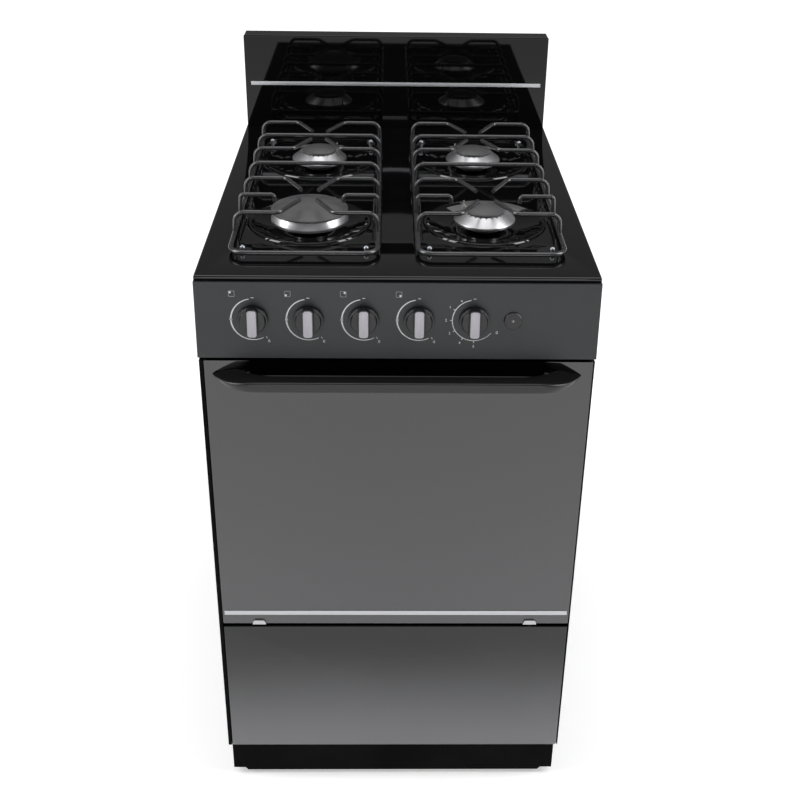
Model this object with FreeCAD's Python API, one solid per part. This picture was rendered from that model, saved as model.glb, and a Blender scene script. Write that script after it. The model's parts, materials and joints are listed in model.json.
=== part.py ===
import FreeCAD, Part
import math
import os

# Free-standing gas range with four burners, an oven and a lower drawer.
# Millimetres. X to the right, Y to the back, Z up. The origin is on the floor, under the middle of the
# range's outline, counting the door handle.

# ---------------------------------------------------------------- overall sizes
overall_width = 508.0
cooktop_depth = 615.0
backguard_thickness = 33.0
backguard_height = 155.0
cooktop_height = 858.0
handle_reach = 54.0
foot_height = 8.0

# ---------------------------------------------------------------- materials and clearances
sheet = 1.2
wire_radius = 3.0
frame_wire_radius = 3.3
clearance = 0.3
wall_gap = 0.2
weld_overlap = 0.6
running_clearance = 0.05
trim_thickness = 0.8
# How far a joined shape starts inside its neighbour, and how far a cutter runs past a face.
margin = 1.0

# ---------------------------------------------------------------- front layout, down from the cooktop
lip_height = 6.0
panel_top_gap = 1.0
panel_bottom_drop = 109.5
panel_tilt_degrees = 3.5
panel_top_setout = 3.2
door_top_gap = 4.0
door_height = 431.5
door_drawer_gap = 5.5
drawer_front_height = 235.5
front_side_inset = 5.0
front_shift = 2.0
front_face_setout = 9.0

# ---------------------------------------------------------------- body
body_inset = 1.0
door_thickness = 27.0
door_seal_gap = 2.5
side_flange = 14.0
rear_flange = 14.0
back_panel_inset = 18.0
plinth_setback = 2.0
plinth_inset = 4.0
plinth_notch_width = 22.0
plinth_notch_height = 5.0
plinth_notch_slope = 4.0
base_wall = 2.0
base_flange = 34.0
base_front_setback = 12.0
foot_radius = 15.0
foot_taper = 2.0
foot_inset = 20.0
foot_stem_radius = 4.0
foot_stem_length = 20.0
louvre_rows = 6
louvre_columns = 3
louvre_length = 60.0
louvre_height = 5.0
louvre_row_pitch = 14.0
louvre_column_pitch = 110.0
louvre_drop = 30.0
inlet_hole_gap = 2.0

# ---------------------------------------------------------------- oven
cavity_side_room = 54.0
cavity_depth = 440.0
cavity_top_drop = 158.0
cavity_height = 370.0
cavity_corner = 18.0
cavity_flange_lap = 10.0
oven_floor_height = 20.0
oven_floor_side_gap = 2.0
oven_floor_end_gap = 3.0
floor_slots = 7
floor_slot_start = 50.0
floor_slot_pitch = 52.0
floor_slot_length = 34.0
floor_slot_width = 8.0
floor_slot_inset = 35.0
insulation_thickness = 26.0
insulation_setback = 18.0
oven_burner_radius = 8.0
oven_burner_wall = 1.2
oven_burner_length = 370.0
oven_burner_front = 45.0
oven_burner_gap = 1.5
oven_burner_end = 3.0
saddle_half_width = 10.0
saddle_thickness = 6.0
saddle_inset = 20.0
oven_port_count = 16
oven_port_start = 45.0
oven_port_pitch = 19.0
oven_port_radius = 1.4
oven_port_rise = 3.0
supply_pipe_radius = 4.0
supply_pipe_ahead = 12.0
supply_pipe_bend = 9.0
supply_pipe_side_gap = 3.0
supply_pipe_floor_gap = 2.0
supply_pipe_hole_gap = 1.0
rail_radius = 2.5
rail_level_pitch = 110.0
rail_front = 30.0
rail_rear = 20.0
ladder_inset = 25.0
ladder_foot = 25.0
ladder_head = 40.0
rack_rise = 120.0
rack_side_offset = 2.4
rack_front = 32.0
rack_depth = 400.0
rack_bars = 11
rack_bar_radius = 1.8
rack_brace_radius = 2.5
rack_corner = 12.0

# ---------------------------------------------------------------- cooktop
cooktop_sheet = 1.5
cooktop_edge_radius = 2.5
front_burner_y = 196.0
rear_burner_y = 453.0
well_side_inset = 7.0
well_front = 98.0
well_rear = 550.0
well_depth = 5.0
well_corner = 26.0
bowl_rim_radius = 85.0
bowl_ridge_height = 2.0
bowl_ridge_width = 5.0
bowl_ridge_slope = 1.0
bowl_ridge_foot = 2.0
bowl_step_outer = 76.0
bowl_step_inner = 68.0
bowl_step_depth = 5.0
bowl_floor_radius = 58.0
bowl_floor_slope = 8.0
bowl_depth = 8.0
punch_depth = 5.0

# ---------------------------------------------------------------- burners
neck_radius = 20.0
head_wall = 2.0
head_neck_drop = 12.0
head_small_radius = 42.5
head_large_radius = 53.5
head_foot_inset = 4.0
head_edge_low = -2.0
head_edge_high = 2.0
head_top = 12.5
head_ring_width = 5.0
head_cup_depth = 7.0
head_small_top_radius = 29.0
head_large_top_radius = 49.5
port_count = 24
port_width = 2.0
port_height = 4.0
port_reach = 8.0
cap_small_radius = 26.0
cap_large_radius = 53.0
cap_edge = 3.0
cap_small_dome = 5.0
cap_large_dome = 10.0
cap_rim_width = 4.0
cap_rim_depth = 4.0
mixer_cup_radius = 26.0
mixer_axis_drop = 46.0
mixer_tube_radius = 9.0
mixer_bore_radius = 7.0
mixer_mouth_y = 62.0
mixer_bell_flare = 3.0
mixer_bell_length = 10.0
electrode_radius = 3.0
electrode_gap = 3.0
electrode_angle_degrees = 57.0
electrode_sleeve_rise = 5.0
electrode_wire_radius = 1.0
electrode_tip = 12.0
electrode_root_drop = 34.0
electrode_collar_width = 3.0
electrode_collar_height = 4.0

# ---------------------------------------------------------------- pan grates
grate_half_width = 95.0
grate_centre_gap = 26.0
grate_front = 56.0
grate_rear = 548.0
grate_corner = 22.0
grate_frame_height = 7.0
grate_top_height = 35.0
grate_lean = 2.0
grate_shoulder = 14.0
grate_foot_inset = 30.0
grate_bar_count = 7
grate_first_bar = 126.0
grate_bar_pitch = 66.7
finger_start = 36.0
finger_end = 12.0
finger_reach = 47.0
finger_bend = 12.0
short_finger_end = 48.0
short_finger_drop = 7.0
short_finger_bend = 4.5
short_finger_lean = 1.0
stud_offset = 80.0
stud_front = 80.0
stud_rear = 524.0
stud_radius = 3.5
stud_post_radius = 2.5
stud_height = 8.0

# ---------------------------------------------------------------- controls
knob_first_inset = 72.5
knob_pitch = 69.375
knob_drop = 56.5
knob_radius = 19.0
knob_neck_radius = 17.0
knob_skirt_height = 3.4
knob_height = 7.4
knob_bevel = 0.6
knob_shoulder = 1.5
knob_gap = 3.6
knob_travel = 3.0
grip_width = 15.0
grip_length = 38.0
grip_height = 5.0
grip_corner = 5.0
insert_depth = 1.6
insert_border = 1.0
insert_corner = 3.0
insert_gap = 0.1
insert_edge = 0.5
stem_radius = 3.0
stem_hole_radius = 6.0
stem_in_knob = 6.0
stem_in_valve = 14.0
stem_end_gap = 2.0
valve_radius = 13.0
valve_front = 8.0
valve_length = 26.0
valve_arm_half = 6.0
valve_arm_lap = 12.0
valve_arm_rise = 5.0
valve_post_depth = 14.0
valve_post_drop = 8.0
jet_root_radius = 4.0
jet_tip_radius = 2.0
jet_gap = 2.0
manifold_radius = 8.0
manifold_below_knobs = 3.0
manifold_behind_valves = 2.0
manifold_fit = 0.1
manifold_past_knob = 25.0
manifold_bend = 16.0
thermostat_half = 16.0
thermostat_arm = 6.0
thermostat_arm_gap = 1.0
thermostat_arm_overlap = 3.0
bulb_radius = 3.0
bulb_setback = 120.0
bulb_start = 30.0
bulb_length = 80.0
bulb_drop = 10.0
bulb_clip = 6.0
capillary_radius = 1.2
capillary_bend = 5.0
capillary_rise = 12.0
capillary_inset = 8.0
button_after_knob = 49.0
button_radius = 11.5
button_bevel = 0.8
button_dish_radius = 2.5
button_dish_depth = 0.6
button_collar = 2.0
button_collar_thickness = 2.0
button_housing_wall = 2.0
button_housing_floor = 3.0
button_spring_room = 3.0
button_proud = 2.5
button_travel = 3.0
button_length = 16.0
module_setback = 90.0
module_length = 62.0
module_depth = 34.0
module_height = 36.0
module_gap = 6.0
module_corner = 3.0
module_pins = 4
module_pin_radius = 2.0
module_pin_start = 10.0
module_pin_pitch = 14.0
module_pin_inset = 9.0
module_pin_height = 4.0

# ---------------------------------------------------------------- gas inlet, half inch pipe thread
inlet_side_inset = 32.0
inlet_thread_radius = 10.48
inlet_bore_radius = 6.5
inlet_hex_across = 26.0
inlet_hex_length = 16.0
inlet_setback = 30.0
inlet_root = 4.0

# ---------------------------------------------------------------- door
glass_thickness = 4.0
glass_corner = 2.0
door_frame_inset = 2.0
door_frame_foot = 7.0
door_frame_side_lip = 16.0
door_frame_end_lip = 30.0
seal_width = 7.0
seal_outset = 12.0
seal_outer_corner = 14.0
hinge_setback = 11.0
hinge_rise = 15.0
hinge_from_cavity = 12.0
hinge_pin_radius = 3.0
hinge_plate = 3.0
hinge_eye_radius = 6.0
hinge_slot_gap = 1.0
hinge_clear = 1.0
hinge_arm_margin = 5.0
hinge_foot_width = 6.0
hinge_receiver_depth = 14.0
hinge_base_width = 9.0
hinge_base_half_height = 14.0
hinge_base_thickness = 3.0
handle_height = 14.5
handle_thickness = 18.0
handle_drop = 121.5
handle_end_inset = 12.0
handle_bend_length = 60.0
handle_root_length = 32.0
handle_inner_bend = 50.0
handle_taper_length = 62.0
handle_tip_rise = 3.0
# Each sweep of the handle is an arc through a point this share along it and this share across it.
sweep_along = 0.72
sweep_across = 0.36
inner_sweep_along = 0.68
taper_along = 0.6
taper_across = 0.33
door_line_drop = 524.7
door_line_height = 4.4
door_line_inset = 3.0
clip_end_inset = 54.0
clip_radius = 9.5
clip_height = 7.0
clip_thickness = 2.0

# ---------------------------------------------------------------- drawer
drawer_face_gap = 1.0
drawer_box_side_room = 26.8
drawer_box_depth = 470.0
drawer_box_bottom_gap = 8.0
drawer_box_height = 120.0
drawer_lip = 11.0
drawer_lip_start = 3.0
runner_gap = 3.0
runner_height = 14.0
runner_past_drawer = 20.0

# ---------------------------------------------------------------- backguard
guard_inset = 3.0
guard_edge_radius = 2.5
guard_line_height = 73.0
guard_line_width = 4.4
guard_line_inset = 9.0
vent_count = 12
vent_pitch = 30.0
vent_length = 18.0
vent_height = 5.0
vent_rise = 20.0

# ---------------------------------------------------------------- fasteners
screw_radius = 4.0
screw_head_height = 2.0
side_screw_end = 60.0
side_screw_inset = 30.0
rear_screw_inset = 40.0
rear_screw_from_flange = 5.0

# ---------------------------------------------------------------- derived places
half_width = overall_width / 2
overall_depth = handle_reach + cooktop_depth + backguard_thickness
front_y = handle_reach - overall_depth / 2
rear_y = overall_depth / 2
guard_y = front_y + cooktop_depth
top_z = cooktop_height
body_half = half_width - body_inset
body_inner = body_half - sheet
front_width = overall_width - 2 * front_side_inset
front_left_x = front_shift - front_width / 2
front_right_x = front_shift + front_width / 2
door_face_y = front_y - front_face_setout
door_back_y = door_face_y + door_thickness
glass_back_y = door_face_y + glass_thickness
body_face_y = door_back_y + door_seal_gap
cavity_face_y = body_face_y + sheet
back_panel_y = rear_y - back_panel_inset
body_top_z = top_z - lip_height
panel_bottom_z = top_z - panel_bottom_drop
door_top_z = panel_bottom_z - door_top_gap
door_bottom_z = door_top_z - door_height
drawer_top_z = door_bottom_z - door_drawer_gap
drawer_bottom_z = drawer_top_z - drawer_front_height
body_bottom_z = drawer_bottom_z - sheet
base_bottom_z = foot_height
base_x = body_half - plinth_inset
base_front_y = front_y + base_front_setback
base_rear_y = rear_y - clearance
cavity_half_width = half_width - cavity_side_room
cavity_top_z = top_z - cavity_top_drop
cavity_bottom_z = cavity_top_z - cavity_height
cavity_back_y = cavity_face_y + cavity_depth
oven_floor_z = cavity_bottom_z + oven_floor_height
rail_z = cavity_bottom_z + rack_rise
ladder_x = cavity_half_width - rail_radius - wall_gap
rail_x = ladder_x - 2 * rail_radius + weld_overlap
burner_x = grate_half_width + grate_centre_gap
well_half_width = grate_half_width - well_side_inset
well_floor_z = top_z - well_depth
bowl_floor_z = well_floor_z - bowl_depth
bowl_roof_z = bowl_floor_z - cooktop_sheet
mixer_z = top_z - mixer_axis_drop
panel_tilt = math.radians(panel_tilt_degrees)
knob_names = ("rear_left", "front_left", "rear_right", "front_right", "oven")
knob_x = [knob_first_inset - half_width + index * knob_pitch for index in range(len(knob_names))]
oven_knob_x = knob_x[-1]
button_x = oven_knob_x + button_after_knob
manifold_z = top_z - knob_drop - manifold_below_knobs
manifold_y = front_y + valve_front + valve_length + manifold_behind_valves
inlet_x = half_width - inlet_side_inset
supply_pipe_y = cavity_face_y + oven_burner_front - supply_pipe_ahead
supply_pipe_z = manifold_z - manifold_radius - supply_pipe_radius - supply_pipe_side_gap
bulb_y = cavity_face_y + bulb_setback
bulb_z = cavity_top_z - bulb_drop
hinge_x = cavity_half_width + hinge_from_cavity
hinge_y = door_face_y + hinge_setback
hinge_z = door_bottom_z + hinge_rise
hinge_slot_half = hinge_plate / 2 + hinge_slot_gap
drawer_box_half_width = body_inner - drawer_box_side_room
drawer_box_top_z = drawer_bottom_z + drawer_box_bottom_gap + drawer_box_height

os.makedirs("parts", exist_ok=True)


def vec(x, y, z):
    return FreeCAD.Vector(x, y, z)


ORIGIN = vec(0, 0, 0)
X_AXIS = vec(1, 0, 0)
Y_AXIS = vec(0, 1, 0)
Z_AXIS = vec(0, 0, 1)
# Straight out of the tilted control panel, and up along its face.
PANEL_OUT = vec(0, -math.cos(panel_tilt), math.sin(panel_tilt))
PANEL_UP = vec(0, math.sin(panel_tilt), math.cos(panel_tilt))


def save(name, shape):
    """Write one sub-part, as one solid or as a group of separate solids."""
    shape = shape.removeSplitter()
    solids = shape.Solids
    result = solids[0] if len(solids) == 1 else Part.makeCompound(solids)
    result.exportStep("parts/" + name + ".step")
    box = result.BoundBox
    print(name, len(solids), "valid" if result.isValid() else "NOT VALID", round(result.Volume),
          [round(v, 1) for v in (box.XMin, box.XMax, box.YMin, box.YMax, box.ZMin, box.ZMax)])


def group(shapes):
    return Part.makeCompound(list(shapes))


def join(shapes):
    shapes = list(shapes)
    return shapes[0].multiFuse(shapes[1:]) if len(shapes) > 1 else shapes[0]


def block(x0, x1, y0, y1, z0, z1):
    return Part.makeBox(x1 - x0, y1 - y0, z1 - z0, vec(x0, y0, z0))


def rod(radius, start, end):
    along = end - start
    return Part.makeCylinder(radius, along.Length, start, along)


def edges_along(solid, axis):
    return [e for e in solid.Edges if abs(e.tangentAt(e.FirstParameter).dot(axis)) > 0.99]


def top_edges(solid):
    return [e for e in solid.Edges if e.BoundBox.ZMin > solid.BoundBox.ZMax - 0.01]


def rounded_block(x0, x1, y0, y1, z0, z1, radius, axis=Z_AXIS):
    """A block whose four edges along one axis are round."""
    solid = block(x0, x1, y0, y1, z0, z1)
    return solid.makeFillet(radius, edges_along(solid, axis))


def extrude_yz(points, x0, x1):
    face = Part.Face(Part.makePolygon([vec(x0, y, z) for y, z in points + points[:1]]))
    return face.extrude(vec(x1 - x0, 0, 0))


def extrude_xz(points, y0, y1):
    face = Part.Face(Part.makePolygon([vec(x, y0, z) for x, z in points + points[:1]]))
    return face.extrude(vec(0, y1 - y0, 0))


def turned(points, x, y):
    """Revolve a radius-height outline about an upright axis."""
    face = Part.Face(Part.makePolygon([vec(x + r, y, z) for r, z in points + points[:1]]))
    return face.revolve(vec(x, y, 0), Z_AXIS, 360)


def wire_through(points, radius, bend):
    """A round bar along straight runs that meet in arcs of one bend radius."""
    edges = []
    start = points[0]
    for before, corner, after in zip(points, points[1:], points[2:]):
        run_in = (before - corner).normalize()
        run_out = (after - corner).normalize()
        half_turn = (math.pi - run_in.getAngle(run_out)) / 2
        setback = bend * math.tan(half_turn)
        arc_start = corner + run_in * setback
        arc_end = corner + run_out * setback
        middle = (run_in + run_out).normalize()
        arc_middle = corner + middle * (bend / math.cos(half_turn) - bend)
        edges.append(Part.LineSegment(start, arc_start).toShape())
        edges.append(Part.Arc(arc_start, arc_middle, arc_end).toShape())
        start = arc_end
    edges.append(Part.LineSegment(start, points[-1]).toShape())
    path = Part.Wire(edges)
    profile = Part.Wire(Part.makeCircle(radius, points[0], points[1] - points[0]))
    return path.makePipeShell([profile], True, False)


def mirrored(shape):
    return shape.mirror(ORIGIN, X_AXIS)


def both_sides(shape):
    return group([shape, mirrored(shape)])


# ================================================================ body
def side_panel():
    """Right side: a sheet with a flange turned in at the front and at the back."""
    wall = block(body_inner, body_half, body_face_y, base_rear_y, body_bottom_z, body_top_z)
    front = block(body_half - side_flange, body_half, body_face_y, body_face_y + sheet,
                  body_bottom_z, body_top_z)
    rear_flange_y = back_panel_y + sheet
    rear = block(body_half - rear_flange, body_half, rear_flange_y, rear_flange_y + sheet,
                 body_bottom_z, body_top_z)
    return join([wall, front, rear])


def back_panel():
    """Flat sheet with louvre slots, and a round hole for the gas inlet."""
    width = body_inner - clearance
    front = back_panel_y - margin
    back = back_panel_y + sheet + margin
    panel = block(-width, width, back_panel_y, back_panel_y + sheet, body_bottom_z, body_top_z)
    cuts = [rod(inlet_thread_radius + inlet_hole_gap, vec(inlet_x, front, manifold_z),
                vec(inlet_x, back, manifold_z))]
    for row in range(louvre_rows):
        z = cavity_top_z - louvre_drop + row * louvre_row_pitch
        for column in range(louvre_columns):
            x = (column - (louvre_columns - 1) / 2) * louvre_column_pitch
            cuts.append(block(x - louvre_length / 2, x + louvre_length / 2, front, back, z, z + louvre_height))
    return panel.cut(group(cuts))


def base_frame():
    """Welded ring under the body, with a flange at its foot for the feet and one at its top."""
    low = base_bottom_z
    top = body_bottom_z
    ring = block(-base_x, base_x, base_front_y, base_rear_y, low, top)
    inside = block(-base_x + base_wall, base_x - base_wall, base_front_y + base_wall, base_rear_y - base_wall,
                   low + base_wall, top - base_wall)
    through = block(-base_x + base_flange, base_x - base_flange, base_front_y + base_flange,
                    base_rear_y - base_flange, low - margin, top + margin)
    holes = [rod(foot_stem_radius + running_clearance, vec(x, y, low - margin), vec(x, y, low + base_wall + margin))
             for x, y in foot_places()]
    return ring.cut(group([inside, through] + holes))


def foot_places():
    x = base_x - foot_inset
    return [(side * x, y) for side in (-1, 1) for y in (base_front_y + foot_inset, base_rear_y - foot_inset)]


def feet():
    shapes = []
    for x, y in foot_places():
        pad = Part.makeCone(foot_radius, foot_radius - foot_taper, foot_height, vec(x, y, 0))
        stem = rod(foot_stem_radius, vec(x, y, foot_height - margin), vec(x, y, foot_height + foot_stem_length))
        shapes.append(pad.fuse(stem))
    return group(shapes)


def plinth():
    """Recessed kick plate with turned-back ends and notched lower corners."""
    y0 = front_y + plinth_setback
    low = base_bottom_z
    top = body_bottom_z
    shoulder = low + plinth_notch_height
    notch = base_x - plinth_notch_width
    slope_end = notch + plinth_notch_slope
    face = extrude_xz([(-notch, low), (notch, low), (slope_end, shoulder), (base_x, shoulder), (base_x, top),
                       (-base_x, top), (-base_x, shoulder), (-slope_end, shoulder)], y0, y0 + sheet)
    end = block(base_x - sheet, base_x, y0, base_front_y, shoulder, top)
    return join([face, end, mirrored(end)])


# ================================================================ oven
def oven_cavity():
    """Enamelled box, open at the front, with a wide front flange."""
    w = cavity_half_width
    y0 = cavity_face_y
    outer = block(-w - sheet, w + sheet, y0, cavity_back_y + sheet,
                  cavity_bottom_z - sheet, cavity_top_z + sheet)
    inner = rounded_block(-w, w, y0 - margin, cavity_back_y, cavity_bottom_z, cavity_top_z,
                          cavity_corner, Y_AXIS)
    flange_x = body_inner - clearance
    flange = block(-flange_x, flange_x, y0, y0 + sheet, drawer_top_z - cavity_flange_lap, panel_bottom_z)
    lower_sill = block(-w, w, y0, y0 + sheet, cavity_bottom_z, oven_floor_z - sheet)
    shell = outer.fuse(flange).cut(inner).fuse(lower_sill)
    below = cavity_bottom_z - sheet - margin
    above = cavity_top_z + sheet + margin
    feed = rod(supply_pipe_radius + supply_pipe_hole_gap, vec(0, supply_pipe_y, below),
               vec(0, supply_pipe_y, cavity_bottom_z + margin))
    bulb = rod(bulb_radius, vec(oven_knob_x, bulb_y, cavity_top_z - margin), vec(oven_knob_x, bulb_y, above))
    slots = [block(side * hinge_x - hinge_slot_half, side * hinge_x + hinge_slot_half, y0 - margin,
                   y0 + sheet + margin, hinge_z - hinge_eye_radius - hinge_clear,
                   hinge_z + hinge_eye_radius + hinge_clear) for side in (-1, 1)]
    return shell.cut(group([feed, bulb] + slots))


def oven_insulation():
    """Glass wool over the cavity's top, sides and back."""
    t = insulation_thickness
    w = cavity_half_width + sheet + clearance
    y0 = cavity_face_y + insulation_setback
    back = cavity_back_y + sheet + clearance
    top = cavity_top_z + sheet + clearance
    wrap = block(-w - t, w + t, y0, back + t, cavity_bottom_z, top + t)
    room = block(-w, w, y0 - margin, back, cavity_bottom_z - margin, top)
    hole = rod(bulb_radius + margin, vec(oven_knob_x, bulb_y, cavity_top_z), vec(oven_knob_x, bulb_y, top + 2 * t))
    return wrap.cut(group([room, hole]))


def oven_floor():
    """Lift-out steel floor over the oven burner, on folded sides, with a row of slots each side."""
    w = cavity_half_width - oven_floor_side_gap
    y0 = cavity_face_y + sheet + oven_floor_end_gap
    y1 = cavity_back_y - oven_floor_end_gap
    leg_x = cavity_half_width - cavity_corner
    top = block(-w, w, y0, y1, oven_floor_z - sheet, oven_floor_z)
    leg = block(leg_x - sheet, leg_x, y0, y1, cavity_bottom_z, oven_floor_z - sheet)
    slot_x = cavity_half_width - floor_slot_inset
    slots = []
    for side in (-1, 1):
        for index in range(floor_slots):
            y = y0 + floor_slot_start + index * floor_slot_pitch
            slots.append(block(side * slot_x - floor_slot_width / 2, side * slot_x + floor_slot_width / 2,
                               y, y + floor_slot_length, oven_floor_z - sheet - margin, oven_floor_z + margin))
    return join([top, leg, mirrored(leg)]).cut(group(slots))


def oven_burner():
    """Straight tube burner on two saddles, with a row of ports on each side."""
    z = cavity_bottom_z + oven_burner_radius + oven_burner_gap
    y0 = cavity_face_y + oven_burner_front
    y1 = y0 + oven_burner_length
    tube = rod(oven_burner_radius, vec(0, y0, z), vec(0, y1, z))
    bore = rod(oven_burner_radius - oven_burner_wall, vec(0, y0 - margin, z), vec(0, y1 - oven_burner_end, z))
    saddles = [block(-saddle_half_width, saddle_half_width, y, y + saddle_thickness, cavity_bottom_z, z)
               for y in (y0 + saddle_inset, y1 - saddle_inset - saddle_thickness)]
    reach = oven_burner_radius + margin
    ports = []
    for index in range(oven_port_count):
        y = y0 + oven_port_start + index * oven_port_pitch
        ports.append(rod(oven_port_radius, vec(-reach, y, z + oven_port_rise), vec(reach, y, z + oven_port_rise)))
    return join([tube] + saddles).cut(group([bore] + ports))


def oven_supply_pipe():
    """Gas pipe from the thermostat, down beside the cavity and across under its floor."""
    x = body_inner - supply_pipe_radius - supply_pipe_side_gap
    y = supply_pipe_y
    low = cavity_bottom_z - sheet - supply_pipe_radius - supply_pipe_floor_gap
    start = vec(oven_knob_x + thermostat_half, y, supply_pipe_z)
    end = vec(0, y, cavity_bottom_z + oven_burner_radius)
    return wire_through([start, vec(x, y, supply_pipe_z), vec(x, y, low), vec(0, y, low), end],
                        supply_pipe_radius, supply_pipe_bend)


def rack_guides():
    """A wire ladder on each side of the cavity."""
    y0 = cavity_face_y + rail_front
    y1 = cavity_back_y - rail_rear
    z0 = oven_floor_z + ladder_foot
    z1 = cavity_top_z - ladder_head
    bars = []
    for y in (y0 + ladder_inset, y1 - ladder_inset):
        bars.append(rod(rail_radius, vec(ladder_x, y, z0), vec(ladder_x, y, z1)))
    for z in (rail_z, rail_z + rail_level_pitch):
        bars.append(rod(rail_radius, vec(rail_x, y0, z), vec(rail_x, y1, z)))
    return both_sides(join(bars))


def oven_rack():
    """Wire rack: a round bar round its edge and thinner bars from front to back."""
    w = rail_x - rack_side_offset
    seat = rail_radius + wire_radius + clearance / 2
    z = rail_z + math.sqrt(seat ** 2 - rack_side_offset ** 2)
    y0 = cavity_face_y + rack_front
    y1 = y0 + rack_depth
    bars = []
    for side in (-1, 1):
        corners = [vec(0, y0, z), vec(side * w, y0, z), vec(side * w, y1, z), vec(0, y1, z)]
        bars.append(wire_through(corners, wire_radius, rack_corner))
    pitch = 2 * w / (rack_bars + 1)
    for index in range(rack_bars):
        x = -w + (index + 1) * pitch
        bars.append(rod(rack_bar_radius, vec(x, y0, z), vec(x, y1, z)))
    middle_y = (y0 + y1) / 2
    bars.append(rod(rack_brace_radius, vec(-w, middle_y, z), vec(w, middle_y, z)))
    return join(bars)


# ================================================================ cooktop
def bowl_outline(grow):
    """Radius-height outline of a pressed bowl's hollow; grow moves it out by the sheet."""
    step_z = well_floor_z - bowl_step_depth - grow
    floor_z = bowl_floor_z - grow
    open_z = well_floor_z + bowl_ridge_height + margin - grow
    return [(0, floor_z), (bowl_floor_radius - bowl_floor_slope + grow, floor_z),
            (bowl_floor_radius + grow, step_z), (bowl_step_inner + grow, step_z),
            (bowl_step_outer + grow, well_floor_z - grow), (bowl_step_outer + grow, open_z), (0, open_z)]


def bowl_ridge(x, y):
    """The raised round rim of a bowl."""
    outer = bowl_rim_radius
    inner = outer - bowl_ridge_width
    low = well_floor_z - cooktop_sheet
    top = well_floor_z + bowl_ridge_height
    slope = bowl_ridge_slope
    return turned([(inner - bowl_ridge_foot, low), (outer + slope, low), (outer + slope, well_floor_z),
                   (outer - slope, top), (inner + slope, top), (inner - bowl_ridge_foot, well_floor_z)], x, y)


def burner_places():
    """Rear left, front left, rear right and front right, in the order of the knobs; the front left is large."""
    rear = front_y + rear_burner_y
    front = front_y + front_burner_y
    return [(-burner_x, rear, False), (-burner_x, front, True), (burner_x, rear, False), (burner_x, front, False)]


def electrode_place(x, y, large):
    reach = (head_large_radius if large else head_small_radius) + electrode_radius + electrode_gap
    angle = math.radians(electrode_angle_degrees)
    side = 1 if x < 0 else -1
    return (x + side * reach * math.cos(angle), y + reach * math.sin(angle))


def cooktop_panel():
    """One pressed sheet: folded lip all round, two wells and four stepped bowls."""
    t = cooktop_sheet
    skin = block(-half_width, half_width, front_y, rear_y, body_top_z, top_z)
    skin = skin.makeFillet(cooktop_edge_radius, top_edges(skin))
    room = block(-half_width + t, half_width - t, front_y + t, rear_y - t, body_top_z - margin, top_z - t)
    skin = skin.cut(room)
    pans = []
    hollows = []
    for side in (-1, 1):
        x0 = side * burner_x - well_half_width
        x1 = side * burner_x + well_half_width
        y0 = front_y + well_front
        y1 = front_y + well_rear
        pans.append(rounded_block(x0 - t, x1 + t, y0 - t, y1 + t, well_floor_z - t, top_z - t / 2, well_corner))
        hollows.append(rounded_block(x0, x1, y0, y1, well_floor_z, top_z + margin, well_corner - t))
    ridges = []
    bowls = []
    bowl_hollows = []
    holes = []
    punch_z = bowl_floor_z - punch_depth
    for x, y, large in burner_places():
        ridges.append(bowl_ridge(x, y))
        bowls.append(turned(bowl_outline(t), x, y))
        bowl_hollows.append(turned(bowl_outline(0), x, y))
        holes.append(rod(neck_radius + clearance, vec(x, y, punch_z), vec(x, y, bowl_floor_z + margin)))
        ex, ey = electrode_place(x, y, large)
        holes.append(rod(electrode_radius + clearance, vec(ex, ey, punch_z), vec(ex, ey, top_z)))
    solid = join([skin] + pans).cut(group(hollows))
    solid = join([solid] + ridges + bowls)
    return solid.cut(group(bowl_hollows)).cut(group(holes))


def burner_head(x, y, large):
    """Aluminium head: neck, foot, flared skirt with gas ports under the cap."""
    radius = head_large_radius if large else head_small_radius
    top_radius = head_large_top_radius if large else head_small_top_radius
    low = top_z + head_edge_low
    top = top_z + head_top
    foot = radius - head_foot_inset
    bore = neck_radius - head_wall
    root = bowl_floor_z - head_neck_drop
    cup = top_radius - head_ring_width
    cup_z = top - head_cup_depth
    outline = [(bore, root), (neck_radius, root), (neck_radius, bowl_floor_z), (foot, bowl_floor_z), (foot, low),
               (radius, low), (radius, top_z + head_edge_high), (top_radius, top), (cup, top), (cup, cup_z),
               (bore, cup_z)]
    head = turned(outline, x, y)
    ports = []
    for index in range(port_count):
        slot = block(top_radius - port_reach, top_radius + port_reach, -port_width / 2, port_width / 2,
                     top - port_height, top + margin)
        slot.rotate(ORIGIN, Z_AXIS, 360.0 * index / port_count)
        slot.translate(vec(x, y, 0))
        ports.append(slot)
    return head.cut(group(ports))


def burner_cap(x, y, large):
    """Flat underside with a locating rim, an upright edge and a low dome."""
    radius = cap_large_radius if large else cap_small_radius
    dome = cap_large_dome if large else cap_small_dome
    low = top_z + head_top
    edge_z = low + cap_edge
    top = edge_z + dome
    sphere_radius = (radius ** 2 + dome ** 2) / (2 * dome)
    half_angle = math.asin(radius / sphere_radius) / 2
    dome_middle = vec(x + sphere_radius * math.sin(half_angle), y,
                      top - sphere_radius * (1 - math.cos(half_angle)))
    corners = [vec(x, y, top), vec(x, y, low), vec(x + radius, y, low), vec(x + radius, y, edge_z)]
    edges = [Part.LineSegment(a, b).toShape() for a, b in zip(corners, corners[1:])]
    edges.append(Part.Arc(corners[-1], dome_middle, corners[0]).toShape())
    cap = Part.Face(Part.Wire(edges)).revolve(vec(x, y, 0), Z_AXIS, 360)
    seat = (head_large_top_radius if large else head_small_top_radius) - head_ring_width - clearance
    rim_z = low - cap_rim_depth
    rim = turned([(seat - cap_rim_width, rim_z), (seat, rim_z), (seat, low + margin),
                  (seat - cap_rim_width, low + margin)], x, y)
    return cap.fuse(rim)


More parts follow.
